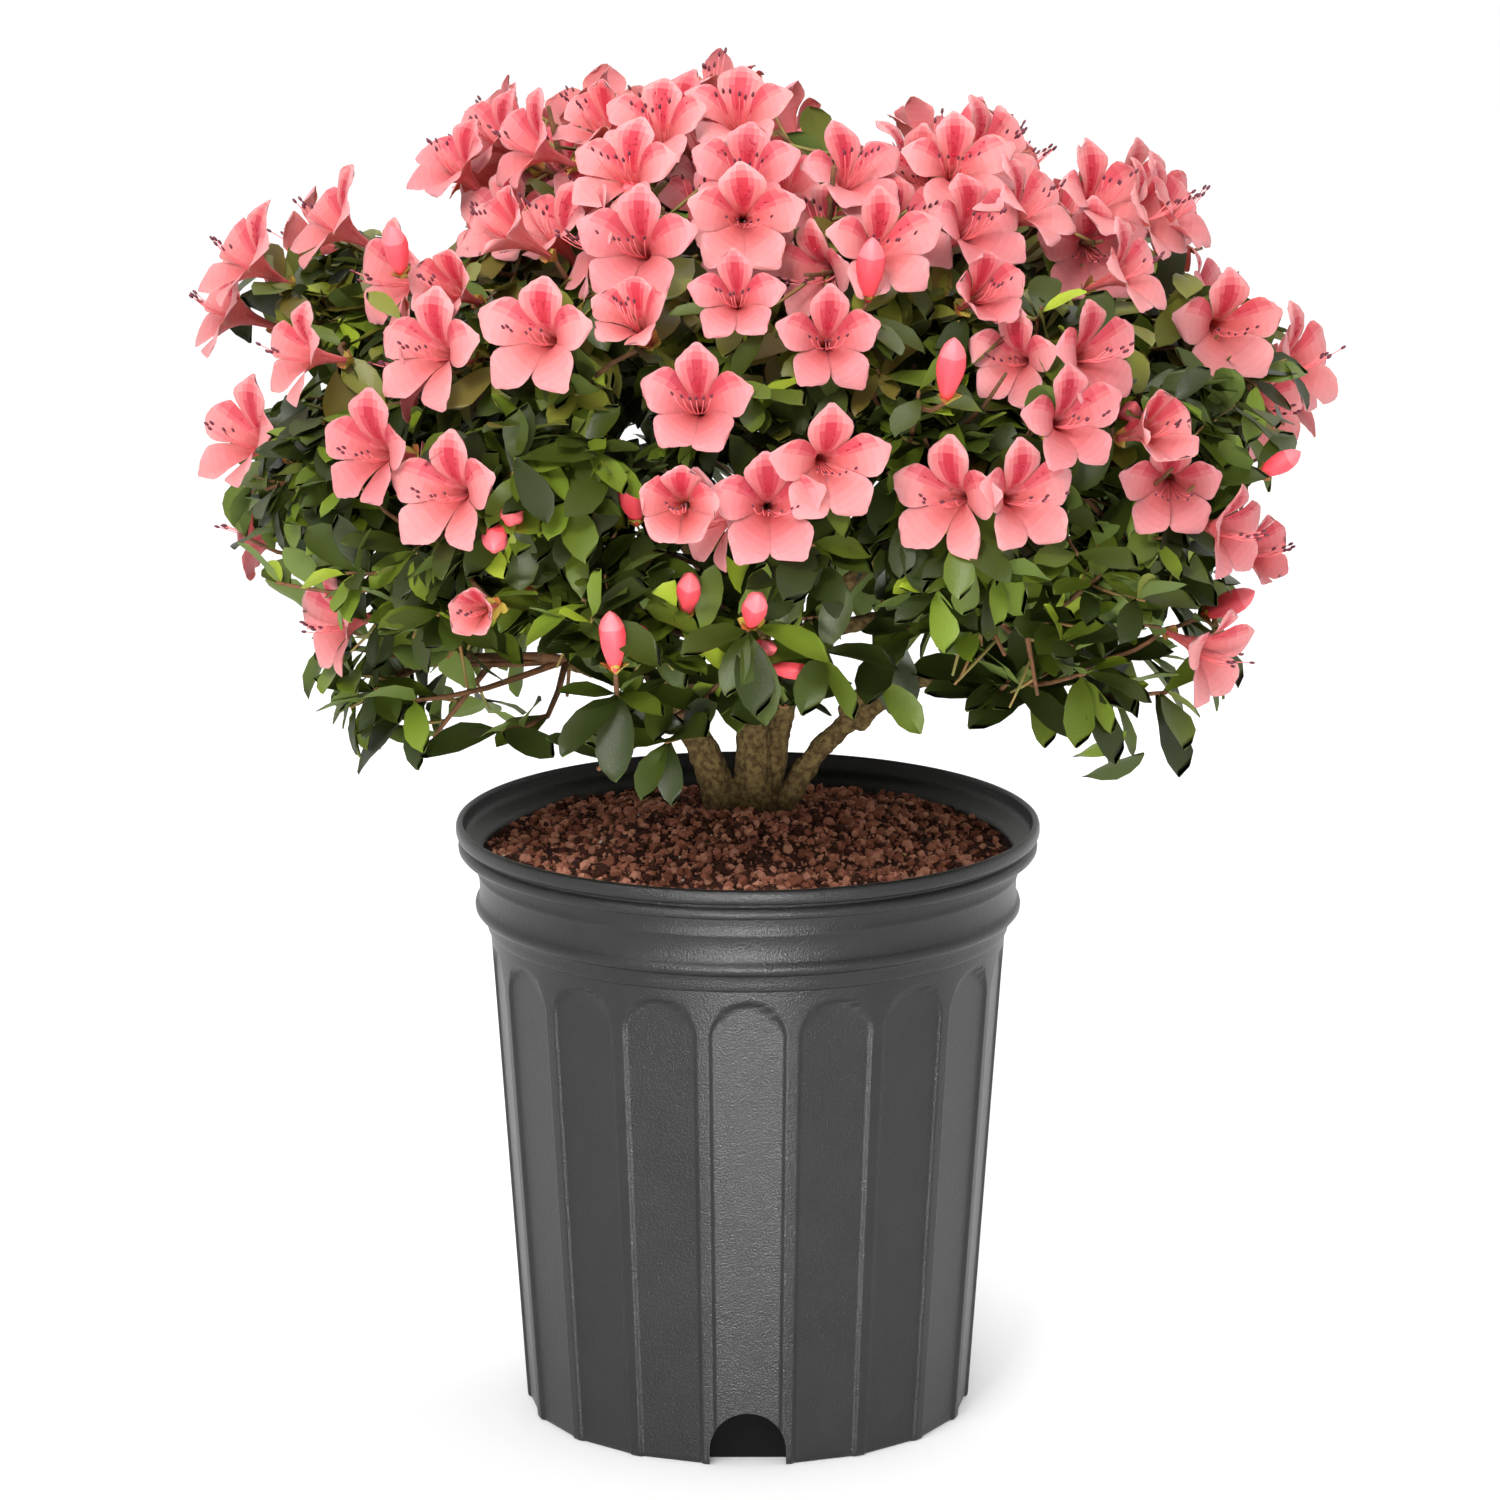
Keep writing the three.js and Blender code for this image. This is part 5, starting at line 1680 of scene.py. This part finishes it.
    def arch(self, grow: float, near: float, far: float, foot: float, azimuth: float) -> Shape:
        """Builds an upright slab with a round head across a drain's place.

        Args:
            grow: How much larger than the opening it is all round.
            near: The distance of its inner face from the axis.
            far: The distance of its outer face.
            foot: The height of its underside.
            azimuth: The drain's compass angle.
        """
        width, height, _, _ = self.drains
        half = width / 2 + grow
        turns = np.linspace(0, np.pi, 25)
        x = np.concatenate([[half], half * np.cos(turns), [-half]])
        z = np.concatenate([[foot], height + grow - half + half * np.sin(turns), [foot]])
        keep = np.concatenate([[True], np.hypot(np.diff(x), np.diff(z)) > 1e-6])
        x, z = x[keep], z[keep]
        a = math.radians(azimuth)
        y = np.array([[near], [far]])
        level = np.stack([x * math.cos(a) + y * math.sin(a), x * math.sin(a) - y * math.cos(a)], -1)
        rings = lifted(level, z)
        return Shape.turned(rings, rings.mean(axis=1))

    def cut(self, piece: bpy.types.Object, shape: Shape, operation: str) -> None:
        """Joins a shape to a piece or cuts it out, by a Boolean that is put into the mesh at once."""
        mesh = bpy.data.meshes.new("cutter")
        mesh.from_pydata((shape.points * MM).tolist(), [], shape.faces.tolist())
        cutter = bpy.data.objects.new("cutter", mesh)
        bpy.context.scene.collection.objects.link(cutter)
        edit = piece.modifiers.new("cut", "BOOLEAN")
        edit.operation, edit.object, edit.solver = operation, cutter, "EXACT"
        apply_modifiers(piece)
        bpy.data.objects.remove(cutter)

    def paint_pocket_shade(self, mesh: bpy.types.Mesh) -> None:
        """Gives the walls of the drain pockets a near-black, dull finish as painted shade, for the dark
        hollow of the pot behind the drains.
        """
        x, y, z = read_mesh(mesh.polygons, "center").T / MM
        slots = np.empty(len(mesh.polygons), np.int32)
        mesh.polygons.foreach_get("material_index", slots)
        width, height, depth, wall = self.drains
        for azimuth in DRAIN_ANGLES:
            a = math.radians(azimuth)
            out, aside = x * math.sin(a) - y * math.cos(a), x * math.cos(a) + y * math.sin(a)
            near = (out > self.foot_radius - depth - 0.1) & (out < self.foot_radius - wall - 0.2)
            slots[near & (np.abs(aside) < width / 2 + 0.1) & (z > 0.1) & (z < height + 0.1)] = 1
        mesh.polygons.foreach_set("material_index", slots)

    def build(self) -> bpy.types.Object:
        """Builds the pot with its drain pockets and dresses it in dark moulded plastic, with painted shade on
        the pockets' walls.
        """
        plastic = Finish("pot_plastic", (15, 15, 15), (19, 19, 19), 0.37, 0.08, 40.0, 1250.0, 0.32, 0.42)
        # painted shade: the pockets' walls are near-black and dull, standing for the dark inside of the pot
        # seen through the drain holes
        shade = Finish("pot_pocket_painted_shade", (8, 8, 8), roughness=0.9, specular=0.1)
        piece = build_piece("pot_shell", self.shell(), [plastic, shade])
        _, _, depth, wall = self.drains
        near = self.foot_radius - depth
        for azimuth in DRAIN_ANGLES:
            self.cut(piece, self.arch(wall, near - wall, self.drain_reach, 0.0, azimuth), "UNION")
        for azimuth in DRAIN_ANGLES:
            self.cut(piece, self.arch(0.0, near, self.foot_radius + 8, -5.0, azimuth), "DIFFERENCE")
        self.paint_pocket_shade(piece.data)
        piece.data.set_sharp_from_angle(angle=math.radians(50))
        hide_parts("pot")
        return piece


# ---------------------------------------------------------------- soil


@dataclass
class Soil:
    """The soil: a low mound of crumbs, with a few slivers of bark and pale specks on it."""

    radius: float = 121.9  # the mound's, at its edge
    # radius and height of the body under the mound, from its middle out and up
    side: tuple = ((50, 2.8), (86, 2.8), (86, 32), (100.8, 34), (115.2, 229), (119, 250), (121.4, 262))
    noise: tuple = ((2.6, 0, 26), (1.9, 0, 11), (1.5, 300, 5.2))  # height, shift and size of the lumps
    stem_foot: tuple[float, float] = (1.0, 15.0)  # where the stems stand, and the soil is smoother
    crumbs: int = 9600  # how many crumbs lie on it
    rings: int = 84
    spokes: int = 264
    seed: int = 23

    def height(self, place: Array, lattice: Lattice) -> Array:
        """Returns the mound's height over a place.

        The mound rises by sin(pi/2 s)^1.5 from its edge to its middle, where s is the share of the way
        in, and noise of four sizes lies on it.
        """
        share = 1 - np.linalg.norm(place, axis=-1) / self.radius
        rise = np.sin(np.pi / 2 * np.clip(share, 0, 1)) ** 1.5
        base = SOIL_EDGE + (SOIL_TOP - SOIL_EDGE) * rise
        inner = smooth_step(share, 0.0, 0.05)
        noise = sum(high * lattice.at(place + shift, size) for high, shift, size in self.noise)
        noise = noise + np.abs(lattice.at(place + 90, 2.6)) - 0.5
        foot = np.exp(-((np.linalg.norm(place - np.array(self.stem_foot), axis=-1) / 22) ** 2))
        return base - 1.6 + noise * (0.25 + 0.75 * inner) * (1 - 0.7 * foot)

    def body(self, lattice: Lattice) -> Shape:
        """Builds the mound and the body under it, turned about the upright axis."""
        reach = self.radius * np.linspace(1, 0.006, self.rings)
        turns = 2 * np.pi * np.arange(self.spokes) / self.spokes
        level = round_places(reach[:, None], turns)
        top = lifted(level, self.height(level, lattice))
        low = np.array(self.side)
        skirt = lifted(round_places(low[:, :1], turns), low[:, 1:])
        poles = [self.side[0][1] * UP, top[-1, :, 2].mean() * UP]
        return Shape.turned(np.concatenate([skirt, top]), poles)

    def scattered(self, lattice: Lattice, count: int, sizes: tuple, stretch: Array, seed: int) -> Shape:
        """Scatters rough lumps over the mound, each an icosahedron with its corners pushed about.

        Args:
            lattice: The mound's noise.
            count: How many there are.
            sizes: The smallest and the largest radius.
            stretch: How much longer they are along each of their own axes.
            seed: The seed of their places.
        """
        random = np.random.default_rng(seed)
        g = (1 + 5**0.5) / 2
        corners = np.array(
            [(-1, g, 0), (1, g, 0), (-1, -g, 0), (1, -g, 0), (0, -1, g), (0, 1, g)]
            + [(0, -1, -g), (0, 1, -g), (g, 0, -1), (g, 0, 1), (-g, 0, -1), (-g, 0, 1)]
        )
        faces = np.array(
            [(0, 11, 5), (0, 5, 1), (0, 1, 7), (0, 7, 10), (0, 10, 11), (1, 5, 9), (5, 11, 4)]
            + [(11, 10, 2), (10, 7, 6), (7, 1, 8), (3, 9, 4), (3, 4, 2), (3, 2, 6), (3, 6, 8)]
            + [(3, 8, 9), (4, 9, 5), (2, 4, 11), (6, 2, 10), (8, 6, 7), (9, 8, 1)]
        )
        reach = (self.radius - 3.0) * np.sqrt(random.uniform(0, 1, count))
        turns = random.uniform(0, 2 * np.pi, count)
        place = round_places(reach, turns)
        size = sizes[0] + (sizes[1] - sizes[0]) * random.uniform(0, 1, count) ** 3
        local = unit(corners)[None] * random.uniform(0.72, 1.2, (count, 12, 1))
        local = local * stretch * size[:, None, None]
        along = unit(random.normal(size=(count, 3)) * np.array([1, 1, 0.35]))
        local = local @ axes_at(along, unit(random.normal(size=(count, 3))))
        centre = lifted(place, self.height(place, lattice) + 0.35 * size)
        return Shape.repeated(local + centre[:, None], faces, random.integers(0, 4, count)[:, None])

    def build(self) -> list[bpy.types.Object]:
        """Builds the mound, its crumbs, and the bits that lie on it."""
        lattice = Lattice(self.seed)
        tones = ((130, 78, 60), (162, 103, 81), (66, 37, 28), (186, 128, 104))
        earth = [
            Finish(f"soil_{k}", tone, roughness=0.95, sway=0.08, fine=900.0, relief=0.5, specular=0.2)
            for k, tone in enumerate(tones)
        ]
        # the mound's own earth colour, darkened further as painted shade so the gaps between the crumbs read
        # dark
        ground = Finish("soil_ground_and_painted_shade", (46, 27, 21), (76, 46, 36), 0.95, 0.08, 150.0, 900.0, 0.7, 0.2)
        mound = build_piece("soil_mound", self.body(lattice), [ground])
        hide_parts("soil")
        lumps = self.scattered(lattice, self.crumbs, (0.6, 2.7), np.array([1, 1.25, 0.85]), 3)
        crumbs = build_piece("soil_crumbs", lumps, earth, 30)
        bits = [
            Finish("sliver_pale", (176, 128, 92), roughness=0.8),
            Finish("sliver_brown", (120, 78, 52), roughness=0.85),
            Finish("speck_straw", (196, 160, 96), roughness=0.8),
            Finish("speck_white", (206, 196, 180), roughness=0.85),
        ]
        slivers = self.scattered(lattice, 34, (0.5, 1.0), np.array([1, 8.0, 0.8]), 8)
        specks = self.scattered(lattice, 26, (0.7, 1.5), np.array([1, 1.1, 0.9]), 12)
        specks.slots = specks.slots // 2 + 2
        slivers.slots = slivers.slots // 2
        loose = build_piece("soil_bits", Shape.joined([slivers, specks]), bits, 30)
        return [mound, crumbs, loose]


# ---------------------------------------------------------------- wood


@dataclass
class Wood:
    """The stems and boughs, as one mesh with the relief of bark."""

    voxel: float = 1.0  # the size of the cells that fuse the limbs, in millimetres
    relief: float = 0.75  # the depth of the bark's ridges
    swell: tuple[float, ...] = (1.32, 1.12, 1.05, 1.05)  # how much stouter each stem is than its solid
    seed: int = 41
    # place and radius of the rings of the foot that the stems share
    foot: tuple = ((1, 15, 276.0, 14.0), (1, 15, 281, 12.5), (1.5, 15, 285, 9.5), (2, 15, 290, 6.0))

    def limb_tubes(self, limbs: Sequence[Limb], sunk: float, flare: float, swell: Sequence[float]) -> Shape:
        """Builds limbs as round tubes whose roots reach back into what they grow from.

        Args:
            limbs: The limbs.
            sunk: How far the roots reach back.
            flare: How much wider a limb is at its root, dying away over its first third.
            swell: How much stouter than its solid each limb is.
        """
        shares = np.linspace(0, 1, 22)
        paths = np.array([SmoothCurve(limb.points).at(shares) for limb in limbs])
        ways = unit(paths[:, :1] - paths[:, 1:2])
        paths = np.concatenate([paths[:, :1] + ways * sunk, paths], axis=1)
        at = np.concatenate([[0.0], shares])
        radii = tapered(each(limbs, "radii") * np.array(swell)[:, None], at)
        return tubes(paths, radii * (1 + flare * np.exp(-at * 7)), 14)

    def build(self, stems: list[Limb], boughs: list[Limb]) -> bpy.types.Object:
        """Fuses the stems and boughs and raises the bark's ridges on them.

        The limbs are joined by a voxel remesh and smoothed. Each point then moves out by
        relief (n1 + n2), less so higher up, where n1 is noise drawn out upwards and n2 is finer noise.

        Args:
            stems: The stems.
            boughs: The boughs.
        """
        rings = np.array([self.foot])
        foot = tubes(rings[..., :3], rings[..., 3], 24)
        roots = self.limb_tubes(stems, 2.0, 0.28, self.swell)
        limbs = self.limb_tubes(boughs, 4.0, 0.12, np.ones(len(boughs)))
        bark = Finish("stem_bark", (98, 82, 50), (64, 50, 31), 0.95, 0.05, 380.0, 900.0, 1.0, 0.08)
        piece = build_piece("trunk_and_boughs", Shape.joined([foot, roots, limbs]), [bark])
        remesh = piece.modifiers.new("fuse", "REMESH")
        remesh.mode, remesh.voxel_size, remesh.use_smooth_shade = "VOXEL", self.voxel * MM, True
        smooth = piece.modifiers.new("ease", "SMOOTH")
        smooth.factor, smooth.iterations = 0.5, 4
        apply_modifiers(piece)
        mesh = piece.data
        points, normals = read_mesh(mesh.vertices, "co") / MM, read_mesh(mesh.vertices, "normal")
        lattice = Lattice(self.seed)
        long = lattice.at(points * np.array([1, 1, 0.22]), 2.4)
        long = long + 0.8 * lattice.at(points * np.array([1, 1, 0.4]) + 50, 5)
        fine = 0.5 * lattice.at(points + 70, 1.6)
        near = 0.45 + 0.55 * smooth_step(points[:, 2], 420, 300)
        moved = points + normals * (self.relief * near * (long + fine))[:, None]
        mesh.vertices.foreach_set("co", (moved * MM).astype(np.float32).ravel())
        mesh.polygons.foreach_set("use_smooth", np.ones(len(mesh.polygons), bool))
        mesh.update()
        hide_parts("trunk", *(bough.name for bough in boughs))
        return piece


# ---------------------------------------------------------------- the dressed shrub


@dataclass
class Shrub:
    """The foliage and flowers, joined by kind."""

    leaf_maker: LeafMaker = field(default_factory=LeafMaker)
    flower_maker: FlowerMaker = field(default_factory=FlowerMaker)
    leaf_tones: tuple[Colour, ...] = (
        (37, 46, 12), (53, 64, 16), (77, 91, 23), (100, 118, 33),
        (108, 109, 37), (98, 86, 34), (144, 160, 44),
    )
    under_tones: tuple[Colour, ...] = ((92, 108, 48), (118, 124, 56))
    petal_tones: tuple = (
        ((176, 74, 74), (193, 93, 93), (203, 134, 135), (199, 106, 108), (173, 42, 58)),
        ((168, 68, 70), (184, 83, 85), (198, 125, 128), (192, 97, 101), (163, 38, 54)),
    )

    def petal_colours(self, hue: int) -> list[Colour]:
        """Returns one hue's colours: the ramp from the throat to the border, then the blotch inwards."""
        tube, throat, border, blush, heart = (np.array(tone) for tone in self.petal_tones[hue])
        steps = self.flower_maker.ramp - 2
        ramp = [throat + (border - throat) * k / steps for k in range(steps + 1)]
        last = self.flower_maker.blotch - 1
        blotch = [blush + (heart - blush) * k / last for k in range(last + 1)]
        return [tuple(tone) for tone in (tube, *ramp, *blotch)]

    def build(self, masses: Masses, growth: Growth) -> list[bpy.types.Object]:
        """Builds every piece of the crown.

        Args:
            masses: The masses that the pieces replace.
            growth: What grew on them.
        """
        names = [mass.name for mass in masses.masses]
        pieces = [*self.twigs(growth, names), *self.leaves(growth), *self.flowers(growth)]
        return pieces

    def twigs(self, growth: Growth, names: Sequence[str]) -> list[bpy.types.Object]:
        """Builds the stems of the masses and all their twigs, which stand for the masses' solids."""
        groups = {}
        for twig in growth.twigs:
            groups.setdefault(len(twig.points), []).append(twig)
        shapes = []
        for rings, twigs in groups.items():
            ends = each(twigs, "radii")
            radii = tapered(ends, np.linspace(0, 1, rings))
            shape = tubes(each(twigs, "points"), radii, 6 if rings > 4 else 4)
            shape.slots = np.repeat((ends[:, 0] < 1.2).astype(int), len(shape.faces) // len(twigs))
            shapes.append(shape)
        wood = Finish("twig_brown", (112, 74, 46), (86, 60, 38), 0.75, 0.1, 200.0, 900.0, 0.3, 0.3)
        young = Finish("twig_young", (128, 92, 52), (112, 110, 56), 0.7, 0.1, 120.0, 900.0, 0.2, 0.3)
        piece = build_piece("twigs", Shape.joined(shapes), [wood, young])
        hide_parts(*names)
        return [piece]

    def leaves(self, growth: Growth) -> list[bpy.types.Object]:
        """Builds the leaves in two pieces, deep greens and light ones, and the bud scales."""
        sides = [
            Finish(f"leaf_{tone.name.lower()}", colour, None, 0.42, 0.2, 70.0, 900.0, 0.12, 0.3)
            for tone, colour in zip(Tone, self.leaf_tones)
        ] + [
            Finish(f"leaf_under_{k}", colour, roughness=0.6, fine=900.0, specular=0.3)
            for k, colour in enumerate(self.under_tones)
        ]
        pieces = []
        groups = {"leaves_deep": (0, 1), "leaves_bright": (2, 3), "leaves_high": (4, 5, 6)}
        for name, tones in groups.items():
            own = [leaf for leaf in growth.leaves if leaf.tone in tones]
            tone = each(own, "tone")
            under = len(self.leaf_tones) + (tone > 3)
            shape = self.leaf_maker.blades(own, 1.0, np.stack([tone, under], 1))
            pieces.append(build_piece(name, shape, sides, 42))
        scale = [
            Finish("scale_straw", (172, 150, 62), roughness=0.6),
            Finish("scale_rust", (168, 106, 48), roughness=0.6),
        ]
        tone = each(growth.scales, "tone")
        shape = self.leaf_maker.blades(growth.scales, 1.5, np.stack([tone, tone], 1))
        pieces.append(build_piece("bud_scales", shape, scale, 42))
        return pieces

    def flowers(self, growth: Growth) -> list[bpy.types.Object]:
        """Builds the petals, stamens, speckles and buds."""
        maker = self.flower_maker
        tones = [
            Finish(f"petal_{hue}_{k}", colour, None, 0.55, 0.1, 90.0, 700.0, 0.12, 0.3, 0.25)
            for hue in range(len(self.petal_tones))
            for k, colour in enumerate(self.petal_colours(hue))
        ]
        pieces = []
        third = (len(growth.blooms) + 2) // 3
        for k in range(3):
            shape = maker.petals(growth.blooms[k * third : (k + 1) * third])
            pieces.append(build_piece(f"petals_{k + 1}", shape, tones, 60))
        threads, grains = maker.filaments(growth.blooms)
        thread = Finish("stamen_thread", (238, 120, 124))
        grain = Finish("stamen_tip", (96, 34, 48), roughness=0.6)
        pieces.append(build_piece("stamen_threads", threads, [thread]))
        pieces.append(build_piece("stamen_tips", grains, [grain]))
        speckle = Finish("petal_speckle", (190, 34, 62), roughness=0.55)
        pieces.append(build_piece("petal_speckles", maker.speckles(growth.blooms), [speckle]))
        red = [
            Finish("bud_base", (226, 74, 70), glow=0.2),
            Finish("bud_side", (232, 72, 84), glow=0.2),
            Finish("bud_tip", (240, 108, 116), glow=0.2),
        ]
        pieces.append(build_piece("flower_buds", maker.buds(growth.buds), red, 60))
        return pieces


# ---------------------------------------------------------------- studio


@dataclass
class Studio:
    """The floor, the lights and the camera."""

    lens: float = 179.5  # the camera's focal length, for a frame 36 mm wide

    def build(self) -> None:
        """Makes the floor, the lights, the world and the camera."""
        scene = bpy.context.scene
        scene.view_settings.view_transform = "Standard"
        mesh = bpy.data.meshes.new("floor")
        mesh.from_pydata([(-20, -20, 0), (20, -20, 0), (20, 20, 0), (-20, 20, 0)], [], [(0, 1, 2, 3)])
        floor = bpy.data.objects.new("floor", mesh)
        scene.collection.objects.link(floor)
        pale = Finish("floor_pale", (252, 252, 252), roughness=0.9, fine=40.0, relief=0.01, specular=0.1)
        mesh.materials.append(pale.material())
        world = bpy.data.worlds.new("studio")
        world.use_nodes = True
        back = world.node_tree.nodes["Background"]
        back.inputs["Color"].default_value = (1, 1, 1, 1)
        back.inputs["Strength"].default_value = 1.0
        scene.world = world
        self.area("key_light", (-1.3, -2.6, 2.6), (0, 0, 0.4), 1.6, 49)
        self.area("pot_light", (-0.06, -1.6, 0.1), (0, 0, 0.1), 0.26, 1.95, 40)
        self.area("crown_light", (-0.4, -1.7, 1.75), (0, 0, 0.67), 0.5, 1.35, 28)
        self.area("top_light", (0.6, 0.8, 2.8), (0, 0, 0.4), 1.4, 24)
        data = bpy.data.cameras.new("camera")
        data.lens, data.sensor_width, data.clip_end = self.lens, 36.0, 60.0
        camera = bpy.data.objects.new("camera", data)
        camera.location = [value * MM for value in EYE]
        camera.rotation_euler = (math.radians(90 - PITCH), 0, 0)
        scene.collection.objects.link(camera)
        scene.camera = camera

    def area(
        self, name: str, place: tuple, aim: tuple, size: float, power: float, spread: float = 180
    ) -> None:
        """Adds a square soft light.

        Args:
            name: Its name.
            place: Where it hangs, in metres.
            aim: The point that it faces.
            size: Its side.
            power: Its power in watts.
            spread: The angle that its light fans out to, in degrees.
        """
        data = bpy.data.lights.new(name, "AREA")
        data.size, data.energy, data.spread = size, power, math.radians(spread)
        light = bpy.data.objects.new(name, data)
        light.location = place
        direction = unit(np.array(place, float) - np.array(aim, float))
        azimuth = math.atan2(direction[1], direction[0])
        light.rotation_euler = (math.acos(direction[2]), 0, azimuth + math.pi / 2)
        bpy.context.scene.collection.objects.link(light)


def main() -> None:
    """Builds the studio, the pot, the soil, the wood and the crown, in that order."""
    logging.basicConfig(level=logging.INFO, format="%(message)s")
    Studio().build()
    Pot().build()
    Soil().build()
    rule = ForkRule()
    stems, boughs = Skeleton().grow(rule)
    Wood().build(stems, boughs)
    crown = Crown()
    masses = Masses(crown, crown.grow_masses(rule, boughs))
    growth = FineRule(masses).grow(SourceRule())
    log.info("%d twigs, %d leaves, %d flowers", len(growth.twigs), len(growth.leaves), len(growth.blooms))
    Shrub().build(masses, growth)


if __name__ == "__main__":
    main()
